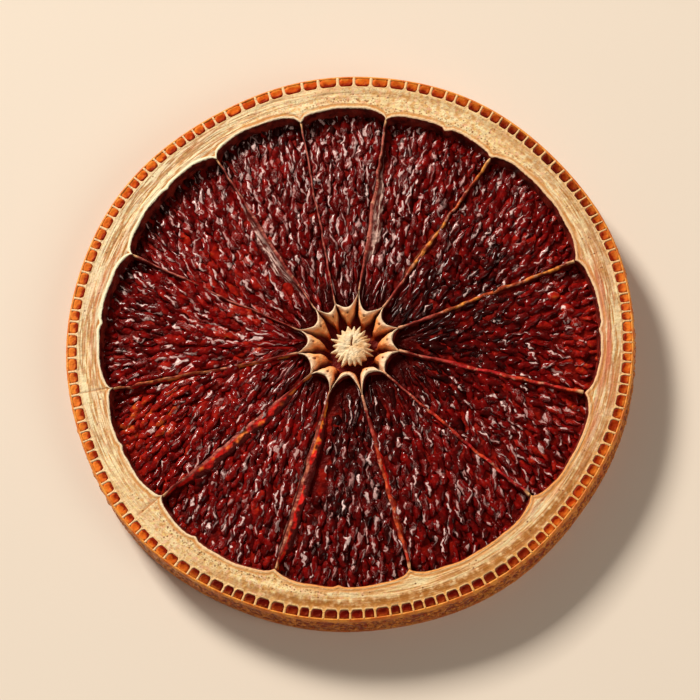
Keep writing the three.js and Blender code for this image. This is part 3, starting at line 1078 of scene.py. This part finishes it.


# ---- Core ----
# The pith at the fruit's axis, torn open in drying to a star-shaped crater in each face. Its rim
# is twelve teeth, one inside the end of each wedge, that slope down and in from a pale lip. Dark
# grooves between them run out to the forks of the membranes. Each tooth is painted paler near its
# lip, as a highlight, and darker red further down, as shade, and the slopes of the lower teeth,
# which face the light, are painted pale like the lip.

CRATER_DEPTH = 2.5
CRATER_RADIUS = 2.75
CRATER_SHIFT = (-0.02, -0.78)  # the crater's middle, from the core
TOOTH_DROP = 1.2  # from a tooth's lip to its inner end
TOOTH_COLUMNS = 36
TOOTH_STEPS = 18
GROOVE_END_DEPTH = 1.0
CORE_MARKS = ("lip", "wall", "tooth", "sunk", "pore")
# Of each ring across a tooth's lip and down its wall: how far it is out from the end of the
# wedge, how far below the lip, and its lip and wall marks.
LIP_RINGS = (
    (-0.15, 0.04, 0.3, 0),
    (-0.05, 0.0, 1, 0),
    (0.05, 0.04, 1, 0),
    (0.14, 0.3, 0.4, 0.7),
    (0.26, 1.0, 0, 1),
    (0.55, 2.0, 0, 1),
)


def core_finish():
    material, tree = finish(
        "dried_core", 0.55, specular_tint=(1.0, 0.6, 0.4, 1.0), specular_ior_level=0.2
    )
    lip, wall, tooth, sunk, pore = marks_on(tree, *CORE_MARKS)
    patches = ease(grain(tree, 1.3), 0.3, 0.7)
    # Painted light and shade: each tooth is paler near its lip and darker red further down.
    tan = layered(
        blended(patches, (0.86, 0.25, 0.065), (1.0, 0.5, 0.19)),
        (ease(sunk, 0.25, 0.0, 0.0, 0.65), (1.0, 0.7, 0.45)),
        (ease(sunk, 0.55, 1.0), (0.6, 0.08, 0.012)),
    )
    gap = blended(sunk, juice_stain(tree), (0.14, 0.005, 0.005))
    colour = layered(gap, (tooth, tan), (lip, (0.97, 0.71, 0.47)), (pore, (0.14, 0.03, 0.01)))
    return dressed(material, soaked(tree, colour, wall), grain(tree, 3.5, 4.0), 0.12)


def core_columns():
    """Stations of every column, from the crater's floor out: arrays [column, ring]."""
    rise = np.linspace(0, 1, TOOTH_STEPS)
    lip_out, lip_fall, lip_mark, wall_mark = np.array(LIP_RINGS).T
    start = CRATER_RADIUS + 0.12
    found = []

    def stations(floor, slope, edge):
        slope, edge = slope + 0 * rise, edge + 0 * lip_out
        return np.concatenate([[floor, floor], slope, edge])

    for wedge in range(len(WEDGES)):
        for share in np.linspace(0, 1, TOOTH_COLUMNS, endpoint=False):
            tip = tip_radius(wedge, share)
            slope = start + (tip - 0.24 - start) * rise
            off_middle = abs(share - 0.5)
            # Half of the tooth's width, as a share of the wedge's: it narrows towards the
            # crater, and closes the groove beside it at the fork.
            tip_here = tip_radii[wedge]
            half = 0.12 + 0.16 * eased(slope, start, start + 0.9)
            half = half + 0.14 * eased(slope, tip_here - 0.9, tip_here - 0.1)
            half = half + 0.06 * eased(slope, tip_here, tip_here + 1.8)
            tooth = 1 - eased(off_middle, half - 0.05, half + 0.05)
            ramp = 0.1 + TOOTH_DROP * (1 - rise) ** 1.1
            ramp = ramp + (CRATER_DEPTH - 0.1 - TOOTH_DROP) * (1 - eased(rise, 0, 0.16))
            groove = CRATER_DEPTH + (GROOVE_END_DEPTH - CRATER_DEPTH) * rise**1.8
            crown = (0.12 + 0.4 * (1 - rise)) * (off_middle / 0.42) ** 2
            pore = np.exp(-(((rise - 0.84) / 0.08) ** 2) - ((off_middle / 0.06) ** 2))
            slope_depth = groove + (ramp + crown - groove) * tooth + 0.3 * pore
            lip_depth = 0.05 + 0.25 * eased(off_middle, 0.36, 0.5)
            radius = np.concatenate([[0.5, CRATER_RADIUS - 0.2], slope, tip + lip_out])
            # The slopes of the lower teeth face the light, and are painted pale like the lip, as
            # lit.
            below = near_bearing(wedge_bearing(wedge, share, slope), 150, 95)
            painted_lit_slope = 0.8 * eased(rise, 0.45, 0.95) * below
            found.append(
                (
                    wedge_bearing(wedge, share, radius),
                    radius,
                    stations(CRATER_DEPTH, slope_depth, lip_depth + lip_fall),
                    stations(0, painted_lit_slope, lip_mark),
                    stations(0, 0, wall_mark),
                    stations(0, tooth, 1),
                    stations(1, 1 - rise, 0),
                    stations(0, pore, 0),
                )
            )
    return [np.array(column) for column in zip(*found)]


def moved_core(points, radius):
    """Shifts the crater's middle off the core, and leaves the ends of the wedges in place."""
    share = 1 - eased(radius, 2.0, 4.2)
    points[..., :2] += np.array(CRATER_SHIFT) * MM * share[..., None]
    return points


core_bearing, core_radius, core_depth, *core_marks = core_columns()
gnarl = 0.09 * rough(placed(core_bearing, core_radius, core_depth) / MM, 0.55, 3)
core_depth = core_depth - gnarl * eased(core_radius, 1.0, 2.4)
core_height = both_heights(face_height(core_bearing), core_depth)
core_points = placed(both_faces(core_bearing), both_faces(core_radius), core_height)
core = band(
    "core",
    moved_core(core_points, both_faces(core_radius)),
    dict(zip(CORE_MARKS, map(both_faces, core_marks))),
)
hold(core, core_finish())


# ---- Plug of the core ----
# What is left of the core's pith in the middle of the crater: a cream puff with a ragged edge,
# which has shrunk away from the teeth all round and split along the middle. It is painted darker,
# as shade, on its lower right, in the creases between its points and down its sides into the
# crater, and its slit is painted brown.

PLUG_DROP = 0.4
PLUG_RADIUS = 2.27
PLUG_SHIFT = (0.08, -0.52)  # the plug's middle, from the core
PLUG_POINTS = 21
PLUG_COLUMNS = 200
SLIT_DEPTH = 0.45
SLIT_WIDTH = 0.1
# Of each ring on its upper half: share of the radius, depth, how much it is serrated, sunk mark.
PLUG_RINGS = (
    (0.0, 0.12, 0.0, 0.0),
    (0.1, 0.08, 0.05, 0.0),
    (0.2, 0.04, 0.05, 0.0),
    (0.3, 0.02, 0.06, 0.0),
    (0.4, 0.0, 0.07, 0.0),
    (0.5, 0.01, 0.08, 0.0),
    (0.6, 0.03, 0.1, 0.0),
    (0.7, 0.06, 0.16, 0.0),
    (0.8, 0.12, 0.32, 0.0),
    (0.89, 0.2, 0.75, 0.0),
    (0.96, 0.36, 1.1, 0.08),
    (0.96, 0.62, 1.0, 0.5),
    (0.9, 1.3, 0.5, 0.8),
    (0.82, 2.1, 0.2, 1.0),
)


def plug_finish():
    material, tree = finish("dried_core_pith", 0.7, specular_tint=(1.0, 0.7, 0.5, 1.0))
    sunk, crease = marks_on(tree, "sunk", "crease")
    cream = ease(grain(tree, 1.4), 0.3, 0.7)
    browned = ease(grain(tree, 0.45, 2.0), 0.52, 0.68)
    # Painted shade: darker in the creases between its points and on its lower right, and darker
    # down its sides into the crater. The slit is painted brown.
    colour = layered(
        blended(cream, (0.86, 0.6, 0.33), (0.97, 0.8, 0.53)),
        (times(browned, 0.8), (0.66, 0.33, 0.12)),
        (times(crease, 0.7), (0.55, 0.24, 0.08)),
        (ease(sunk, 0.1, 0.6), (0.55, 0.18, 0.05)),
        (ease(sunk, 0.6, 1.0), (0.1, 0.006, 0.004)),
    )
    return dressed(material, colour, grain(tree, 4.0, 4.0), 0.16)


def weld_poles(mesh):
    """Joins the points that lie together at the middle of each face, and so closes the piece."""
    body = bmesh.new()
    body.from_mesh(mesh)
    bmesh.ops.remove_doubles(body, verts=body.verts, dist=0.001 * MM)
    loose = [edge for edge in body.edges if edge.is_wire]
    bmesh.ops.delete(body, geom=loose, context="EDGES")
    body.to_mesh(mesh)
    body.free()


plug_draw = np.random.default_rng(11)
point_ends = np.cumsum(plug_draw.uniform(0.7, 1.35, PLUG_POINTS))
point_ends = np.concatenate([[0], point_ends / point_ends[-1] * 360])
around = np.linspace(0, 360, PLUG_COLUMNS, endpoint=False)[:, None]
point_here = np.searchsorted(point_ends, around, side="right") - 1
in_point = (around - point_ends[point_here]) / np.diff(point_ends)[point_here]
point_size = plug_draw.uniform(0.5, 1.35, PLUG_POINTS)[point_here]
point_wave = (1 - np.abs(2 * in_point - 1)) ** 1.35
ring_share, ring_depth, ring_serrated, ring_sunk = np.array(PLUG_RINGS).T
ragged = 0.05 * np.cos(np.radians(2 * around + 20)) + 0.03 * np.cos(np.radians(3 * around))
plug_radius = PLUG_RADIUS * ring_share * (1 + ring_share * ragged)
plug_radius = plug_radius * (1 + 0.32 * ring_serrated * (point_wave * point_size - 0.42))
crease = ring_serrated * (1 - point_wave) ** 2 * (ring_depth < 0.5) * point_size**0.5
# Painted shade on the lower right, kept in the crease mark.
painted_shade_lower_right = 0.9 * near_bearing(around, 125, 60) * eased(ring_share, 0.3, 0.8)
slit_line = plug_radius * np.sin(np.radians(around - 3)) + 0.05 * np.sin(4 * plug_radius)
slit = np.exp(-((slit_line / SLIT_WIDTH) ** 2)) * eased(plug_radius, 1.3, 0.8)
slit = slit * eased(np.cos(np.radians(around)), -0.2, 0.3)
spots = placed(around, plug_radius, 0 * plug_radius) / MM
puff = (0.16 * rough(spots, 0.9, 2) + 0.1 * rough(spots, 0.33, 2)) * (ring_depth < 1)
plug_depth = PLUG_DROP + ring_depth + 0.2 * crease + SLIT_DEPTH * slit - puff
plug_depth = np.maximum(plug_depth, 0.1)
plug_height = both_heights(THICKNESS, plug_depth)
plug_points = placed(around, both_faces(plug_radius), plug_height)
plug_points[..., :2] += np.array(PLUG_SHIFT) * MM
plug = band(
    "core_plug",
    plug_points,
    {
        "sunk": both_faces(np.maximum(ring_sunk, 0.75 * slit)),
        "crease": both_faces(np.maximum(crease, painted_shade_lower_right)),
    },
)
weld_poles(plug.data)
hold(plug, plug_finish())


# ---- Juice sacs ----
# The little spindle-shaped sacs of juice that fill the wedges, lying with their length towards
# the core. Dried, they are shrunken, creased and glossy like raisins, from near black to bright
# red, with pale lines along their creases that are partly dry skin and partly painted glints. Their
# sides are painted darker, as shade, and so are the sacs near the core and, on the upper left,
# near the rind, in the rind's shadow. Each face has its own layer of them.

SAC_SHAPES = 6
SAC_AROUND = 6
SAC_ALONG = 5  # rings of points along a sac, between its two tips
SAC_CREASES = ((1.12, 0.74, 1.05, 0.8, 0.95, 0.72), (0.72, 1.1, 0.8, 0.9, 0.8, 1.05))
SAC_SPACING = 0.86
SAC_LENGTH = 2.7
SAC_WIDTH = 1.3
SAC_WRINKLES = 1.7  # how many a millimetre
SAC_WRINKLE_HEIGHT = 0.7
STROKE = 0.04  # half of a pale line's width, as a share of the way round a sac
SAC_MARGIN = 0.12  # the sacs were cut with the slice, this far below its faces
STRAIGHTEN = 2.5  # how much the sacs lean towards +Y and -Y
GUIDE_COLUMNS = 25  # of a wedge
GUIDE_RINGS = 22
SAC_DENSITY = 4e6  # to a square metre, before the spacing thins them
MAP_CELLS = 60.0  # each sac has its own square on a map of so many by so many
MAP_SHARE = 0.86  # how much of its square's side a sac takes up


def sac_mesh(index):
    """One sac along X, 1 long, 1 wide and 1 high, creased along its upper side."""
    draw = np.random.default_rng(100 + index)
    bend, twist, blunt = draw.uniform((-0.22, -0.5, 0.42), (0.22, 0.5, 0.62))
    along = np.linspace(0, 1, SAC_ALONG + 2)[1:-1]
    around = np.arange(SAC_AROUND) / SAC_AROUND
    points = []
    for a in along:
        size = np.sin(np.pi * a**0.8) ** blunt * draw.uniform(0.86, 1.12)
        turn = 2 * np.pi * (around + 0.25) + twist * (a - 0.5) + draw.uniform(-0.12, 0.12)
        reach = 0.5 * size * np.array(SAC_CREASES[index % 2])
        reach = reach * draw.uniform(0.86, 1.14, SAC_AROUND)
        middle = bend * np.sin(np.pi * a) - bend * 0.6
        points += [(a - 0.5, middle + r * np.cos(t), r * np.sin(t)) for r, t in zip(reach, turn)]
    points += [(-0.5, -bend * 0.6, -0.08), (0.5, -bend * 0.6, -0.08)]
    # Each corner of a face comes with its place on the sac: share of the way round, and along.
    tips = len(points) - 2, len(points) - 1
    last = (SAC_ALONG - 1) * SAC_AROUND
    faces = []
    for k in range(SAC_AROUND):
        n, u, v = (k + 1) % SAC_AROUND, k / SAC_AROUND, (k + 1) / SAC_AROUND
        for row, here, there in zip(range(0, last, SAC_AROUND), along, along[1:]):
            after = row + SAC_AROUND
            ring = ((after + k, u, there), (after + n, v, there), (row + n, v, here))
            faces.append((*ring, (row + k, u, here)))
        middle = (u + v) / 2
        faces.append(((n, v, along[0]), (tips[0], middle, 0), (k, u, along[0])))
        faces.append(((tips[1], middle, 1), (last + n, v, along[-1]), (last + k, u, along[-1])))
    mesh = smooth_mesh(f"sac_{index}", points, [[corner[0] for corner in face] for face in faces])
    spots = [corner[1:] for face in faces for corner in face]
    layer = mesh.uv_layers.new(name="sac")
    layer.uv.foreach_set("vector", np.array(spots, np.float32).ravel())
    return mesh


def random_between(given, lowest, highest, salt):
    """A random number for each sac."""
    inputs = {2: lowest, 3: highest, "Seed": maths("ADD", given.outputs["Seed"], salt)}
    return node(given.id_data, "FunctionNodeRandomValue", inputs, data_type="FLOAT").outputs[1]


def sac_turn(given, where):
    """Turns each sac to lie along the way to the core, with a lean of its own."""
    tree = given.id_data
    from_core = vector_maths("SUBTRACT", where, (CORE[0] * MM, CORE[1] * MM, 0.0))
    outward = vector_maths("MULTIPLY", from_core, xyz(1.0, given.outputs["Straighten"]))
    inputs = {0: outward, 1: xyz(z=given.outputs["Upright"])}
    axes = {"primary_axis": "X", "secondary_axis": "Z"}
    facing = node(tree, "FunctionNodeAxesToRotation", inputs, **axes).outputs[0]
    tangle = named(tree, "tangle")
    lean = xyz(
        random_between(given, -0.6, 0.6, 11),
        times(random_between(given, -0.22, 0.22, 12), maths("ADD", tangle, 0.5)),
        times(random_between(given, -1.0, 1.0, 13), tangle),
    )
    inputs = {0: facing, 1: node(tree, "FunctionNodeEulerToRotation", {0: lean}).outputs[0]}
    return node(tree, "FunctionNodeRotateRotation", inputs, rotation_space="LOCAL").outputs[0]


def sac_size(given):
    """Each sac's own length, width and height. Near the core they are drawn out thin."""
    tree = given.id_data
    drawn = named(tree, "drawn")
    long = times(given.outputs["Length"], random_between(given, 0.65, 1.2, 14))
    wide = times(given.outputs["Width"], random_between(given, 0.75, 1.25, 15))
    long = times(long, ease(drawn, 0.0, 1.0, 1.0, 2.2))
    wide = times(wide, ease(drawn, 0.0, 1.0, 1.0, 0.72))
    size = xyz(long, wide, times(wide, random_between(given, 0.32, 0.56, 16)))
    return scaled(size, named(tree, "size"))


def mapped(given, sacs):
    """Gives each sac its own square on a map of the whole piece."""
    tree = given.id_data
    cell, cells = named(tree, "cell", "INT"), given.outputs["Cells"]
    row = maths("FLOOR", maths("DIVIDE", cell, cells))
    column = maths("SUBTRACT", cell, times(row, cells))
    own, margin = named(tree, "sac", "FLOAT_VECTOR"), (1 - MAP_SHARE) / 2
    inside = vector_maths("MULTIPLY", own, (MAP_SHARE, MAP_SHARE, 0.0))
    inside = vector_maths("ADD", inside, (margin, margin, 0.0))
    spot = vector_maths("ADD", inside, xyz(column, row))
    return stored(sacs, "OFBake", scaled(spot, maths("DIVIDE", 1.0, cells)), "FLOAT2", "CORNER")


def trimmed(given, sacs, where):
    """Wrinkles the sacs, and then flattens what would stand above either face."""
    bumps = noise_at(where, given.outputs["Wrinkles"], 1.0)["Color"]
    bumps = vector_maths("SUBTRACT", bumps, (0.5, 0.5, 0.5))
    wrinkled = moved(sacs, Offset=scaled(bumps, given.outputs["Wrinkle Height"]))
    place = node(given.id_data, "ShaderNodeSeparateXYZ", {0: where}).outputs
    level = maths("MAXIMUM", place[2], given.outputs["Lowest"])
    level = maths("MINIMUM", level, given.outputs["Highest"])
    return moved(wrinkled, Position=xyz(place[0], place[1], level))


def sacs_tree():
    """Scatters sacs over the flesh."""
    sizes = ("Spacing", "Length", "Width", "Wrinkles", "Wrinkle Height", "Lowest", "Highest")
    sockets = dict.fromkeys((*sizes, "Straighten", "Upright", "Cells"), "Float")
    sockets.update({"Shapes": "Collection", "Seed": "Int", "Skin": "Material"})
    tree, given, out = geometry_tree("juice_sacs", sockets)
    inputs = {
        "Mesh": given.outputs["Geometry"],
        "Distance Min": given.outputs["Spacing"],
        "Density Max": SAC_DENSITY,
        "Density Factor": named(tree, "cover"),
        "Seed": given.outputs["Seed"],
    }
    kind = "GeometryNodeDistributePointsOnFaces"
    spots = node(tree, kind, inputs, distribute_method="POISSON").outputs["Points"]
    where = node(tree, "GeometryNodeInputPosition").outputs[0]
    inputs = {
        "Collection": given.outputs["Shapes"],
        "Separate Children": True,
        "Reset Children": True,
    }
    shapes = node(tree, "GeometryNodeCollectionInfo", inputs).outputs[0]
    inputs = {4: 0, 5: SAC_SHAPES - 1, "Seed": maths("ADD", given.outputs["Seed"], 17)}
    pick = node(tree, "FunctionNodeRandomValue", inputs, data_type="INT").outputs[2]
    inputs = {
        "Points": spots,
        "Instance": shapes,
        "Pick Instance": True,
        "Instance Index": pick,
        "Rotation": sac_turn(given, where),
        "Scale": sac_size(given),
    }
    sacs = node(tree, "GeometryNodeInstanceOnPoints", inputs).outputs[0]
    index = node(tree, "GeometryNodeInputIndex").outputs[0]
    sacs = stored(sacs, "cell", index, "INT", "INSTANCE")
    sacs = stored(sacs, "tint", random_between(given, 0.0, 1.0, 18), "FLOAT", "INSTANCE")
    worn(trimmed(given, mapped(given, realized(sacs)), where), given.outputs["Skin"], out)
    return tree


def sac_finish():
    gloss = {"specular_ior_level": 0.06, "coat_weight": 0.22, "coat_roughness": 0.1}
    material, tree = finish("dried_juice_sac", 0.4, specular_tint=DEEP_RED, **gloss)
    tint, ripe, pale = marks_on(tree, "tint", "ripe", "pale")
    own = node(tree, "ShaderNodeUVMap", uv_map="sac").outputs[0]
    around, along = node(tree, "ShaderNodeSeparateXYZ", {0: own}).outputs[:2]

    def chance(salt):
        inputs = {"W": maths("ADD", times(tint, 71.0), salt)}
        return node(tree, "ShaderNodeTexWhiteNoise", inputs, noise_dimensions="1D").outputs["Value"]

    shade = maths("ADD", times(tint, 0.25), times(grain(tree, 0.5), 0.5))
    shade = maths("ADD", shade, times(grain(tree, 1.3, 2.0), 0.7))
    shade = maths("ADD", shade, times(maths("SUBTRACT", ripe, 0.5), 0.6))
    upward = maths("COSINE", times(around, 2 * np.pi))
    colour = (0.02, 0.0003, 0.0003)
    for start, riper in (
        (0.45, (0.08, 0.0008, 0.0008)),
        (0.65, (0.17, 0.0015, 0.0015)),
        (0.85, (0.34, 0.01, 0.004)),
        (1.05, (0.55, 0.1, 0.012)),
    ):
        colour = blended(ease(shade, start, start + 0.2), colour, riper)
    # Painted shade: the sides and underside of each sac are darker.
    colour = blended(ease(upward, 0.3, -0.6), colour, (0.035, 0.0008, 0.0008))
    # Pale lines, partly dry skin and partly painted glints, in two short strokes along the top of
    # the sac that fork from one another.
    turn = maths("SUBTRACT", around, maths("ROUND", around))
    wander = times(maths("SUBTRACT", grain(tree, 1.1, 1.0), 0.5), 0.35)
    turn = maths("ADD", turn, wander)
    fork = times(maths("SUBTRACT", chance(11.7), 0.5), 0.9)

    def stroke(salt, lean):
        middle = ease(chance(salt), 0.0, 1.0, 0.25, 0.75)
        half = ease(chance(salt + 2.9), 0.0, 1.0, 0.18, 0.48)
        half = times(half, ease(pale, 0.1, 0.9, 0.5, 1.1))
        from_middle = maths("SUBTRACT", along, middle)
        line = maths("ADD", ease(chance(3.1), 0.0, 1.0, -0.15, 0.15), times(from_middle, lean))
        off = maths("ABSOLUTE", maths("SUBTRACT", turn, line))
        ends = maths("ABSOLUTE", maths("DIVIDE", from_middle, half))
        wide = ease(ends, 1.0, 0.3, 0.0, STROKE)
        return ease(maths("SUBTRACT", off, wide), 0.012, -0.012)

    strokes = maths("MAXIMUM", stroke(5.3, 0.1), stroke(23.9, fork))
    likely = maths("ADD", times(pale, 0.85), ease(grain(tree, 0.4), 0.3, 0.7, -0.1, 0.4))
    strokes = times(strokes, maths("LESS_THAN", chance(41.3), likely))
    strokes = times(strokes, ease(grain(tree, 2.2, 2.0), 0.35, 0.6, 0.55, 1.0))
    dry_skin_and_glint = blended(chance(60.1), (0.5, 0.24, 0.22), (0.93, 0.68, 0.64))
    dry_skin_and_glint = blended(ease(pale, 0.6, 0.1, 0.0, 0.6), dry_skin_and_glint, (1.0, 0.78, 0.72))
    return dressed(material, blended(strokes, colour, dry_skin_and_glint), grain(tree, 2.6), 0.14)


shapes = bpy.data.collections.new("sac_shapes")
bpy.context.scene.collection.children.link(shapes)
for index in range(SAC_SHAPES):
    shapes.objects.link(bpy.data.objects.new(f"sac_{index}", sac_mesh(index)))
sac_skin = sac_finish()
juice_sacs = sacs_tree()

guide_bearing, guide_radius, guide_share, guide_along = wedge_grid(
    np.linspace(0.02, 0.98, GUIDE_COLUMNS), np.linspace(0, 1, GUIDE_RINGS), 0.6, 0.05
)
guide_depth = flesh_depth(guide_share, guide_along) - 0.05


def near(middle, width):
    return near_bearing(guide_bearing, middle, width)


bare = near(193, 7) * eased(guide_radius, 22, 15)
side = near(105, 60)
to_rind = eased(guide_along, 0.82, 1.0)
to_out = eased(guide_radius, 16, 26)
to_core = (1 - eased(guide_radius, 6, 15)) * near(125, 150)
start = 1.8 * (1 - near(350, 80))
# Clear of the membranes' feet.
wedge = np.repeat(np.arange(len(WEDGES)), GUIDE_COLUMNS)[:, None]
after = (wedge + 1) % len(WEDGES)
feet_before, feet_after, _, _, feet_glow = np.array(MEMBRANES).T
across = np.radians((rind_bearings[after] - rind_bearings[wedge]) % 360) * guide_radius
left_foot = foot_spread(feet_after[wedge], feet_glow[wedge], guide_along)
right_foot = foot_spread(feet_before[after], feet_glow[after], guide_along)
room = np.minimum(guide_share * across - left_foot, (1 - guide_share) * across - right_foot)
cover = (1 - 0.9 * bare) * eased(guide_radius, 3.5 + start, 5.7 + start)
guide_marks = {
    "cover": cover * eased(room, -0.4, 0.05),
    "tangle": 0.2 + 0.4 * side * eased(guide_radius, 8, 16),
    "drawn": eased(guide_radius, 13, 7),
    # The pale lines on the sacs are partly painted glints: more of them on the upper left, towards
    # the light, and fewer near the rind and the core, in shade.
    "pale": (
        0.5
        + 0.5 * near(345, 65)
        - 0.55 * near(85, 60) * (1 - 0.7 * to_out)
        + 0.3 * near(178, 24)
        + 0.3 * near(125, 45) * to_out
        - 0.35 * to_rind
        - 0.45 * near(247, 22) * to_out
        - 0.4 * to_core
        + 0.25 * near(345, 45) * eased(guide_radius, 15, 8)
    ),
    "ripe": (
        0.45
        + 0.35 * near(285, 65) * eased(guide_radius, 4, 14)
        + 0.15 * near(215, 50)
        - 0.25 * near(75, 50) * (1 - to_out)
        + 0.36 * near(95, 70) * to_out
        + 0.34 * near(248, 22) * to_out
        - 0.25 * near(182, 26) * (1 - to_out)
        - 0.3 * near(285, 50) * to_out
        # Painted shadow of the rind on the upper left, and painted shade near the core: the sacs
        # there are darker.
        - 0.55 * to_rind * near(320, 70)
        - 0.5 * to_core
    ),
    "size": eased(guide_radius, 3.0, 13.0) * 0.6 + 0.4 - 0.15 * side - 0.2 * to_rind,
}
index = np.arange(guide_radius.size).reshape(len(WEDGES), GUIDE_COLUMNS, GUIDE_RINGS)
corners = (index[:, :-1, :-1], index[:, 1:, :-1], index[:, 1:, 1:], index[:, :-1, 1:])
guide_faces = np.stack(corners, -1).reshape(-1, 4)
for name, height, upright, seed in (
    ("upper_sacs", face_height(guide_bearing) - guide_depth, 1.0, 5),
    ("lower_sacs", guide_depth, -1.0, 23),
):
    points = placed(guide_bearing, guide_radius, height)
    sacs = nodes_piece(
        name,
        mesh_piece("sac_guide", points, guide_faces, guide_marks),
        juice_sacs,
        {
            "Shapes": shapes,
            "Spacing": SAC_SPACING * MM,
            "Length": SAC_LENGTH * MM,
            "Width": SAC_WIDTH * MM,
            "Straighten": STRAIGHTEN,
            "Upright": upright,
            "Lowest": SAC_MARGIN * MM,
            "Highest": (THICKNESS - FACE_DIP - SAC_MARGIN) * MM,
            "Cells": MAP_CELLS,
            "Wrinkles": SAC_WRINKLES / MM,
            "Wrinkle Height": SAC_WRINKLE_HEIGHT * MM,
            "Seed": seed,
            "Skin": sac_skin,
        },
    )
    hold(sacs)
for shape in list(shapes.objects):
    bpy.data.objects.remove(shape)
bpy.data.collections.remove(shapes)


# ---- Table, light and camera ----
# A pale cream table and a large soft light from the upper left, with a weaker one opposite. The
# camera looks down on the slice, which lies with its shown face up.

VIEW_AZIMUTH = 15.4
VIEW_ELEVATION = 72.3
VIEW_DISTANCE = 0.41
PICTURE_WIDTH = 0.0815  # what the picture takes in at the slice's distance
SENSOR_WIDTH = 36
TABLE_HALF = 1.5

table_corners = [
    (TABLE_HALF * x, TABLE_HALF * y, 0) for x, y in ((-1, -1), (1, -1), (1, 1), (-1, 1))
]
table_mesh = bpy.data.meshes.new("table")
table_mesh.from_pydata(table_corners, [], [(0, 1, 2, 3)])
table = added("table", table_mesh)
cream, cream_tree = finish("cream_table", 0.7)
clouds = blended(grain(cream_tree, 0.02), (0.79, 0.69, 0.575), (0.81, 0.71, 0.595))
table.data.materials.append(dressed(cream, clouds))

azimuth, elevation = np.radians(VIEW_AZIMUTH), np.radians(VIEW_ELEVATION)
back = Vector(
    (np.sin(azimuth) * np.cos(elevation), -np.cos(azimuth) * np.cos(elevation), np.sin(elevation))
)
level = Vector((np.cos(azimuth), np.sin(azimuth), 0))
rise = back.cross(level)
# Rolled, so that +Y of the slice is up in the picture.
right = np.cos(azimuth) * level - np.sin(azimuth) * rise
up = np.sin(azimuth) * level + np.cos(azimuth) * rise
target = Vector((0, 0, THICKNESS * MM / 2))
camera = added("camera", bpy.data.cameras.new("camera"))
turn = Matrix((right, up, back)).transposed().to_4x4()
camera.matrix_world = Matrix.Translation(target + back * VIEW_DISTANCE) @ turn
camera.data.sensor_width = SENSOR_WIDTH
camera.data.lens = SENSOR_WIDTH * VIEW_DISTANCE / PICTURE_WIDTH
camera.data.clip_start = 0.01
bpy.context.scene.camera = camera


def soft_light(name, place, size, power, colour):
    lamp = bpy.data.lights.new(name, "AREA")
    lamp.shape = "SQUARE"
    lamp.size = size
    lamp.energy = power
    lamp.color = colour
    light = added(name, lamp)
    light.location = place
    light.rotation_euler = (target - Vector(place)).to_track_quat("-Z", "Y").to_euler()


soft_light("key", (-0.66, 0.85, 0.78), 0.32, 24.0, (1.0, 0.94, 0.86))
soft_light("fill", (0.9, -0.5, 1.0), 0.8, 5.0, (1.0, 0.93, 0.86))
world = bpy.data.worlds.new("studio")
world.use_nodes = True
world.node_tree.nodes["Background"].inputs["Color"].default_value = (1.0, 0.88, 0.74, 1)
world.node_tree.nodes["Background"].inputs["Strength"].default_value = 0.14
bpy.context.scene.world = world
bpy.context.scene.view_settings.view_transform = "Standard"
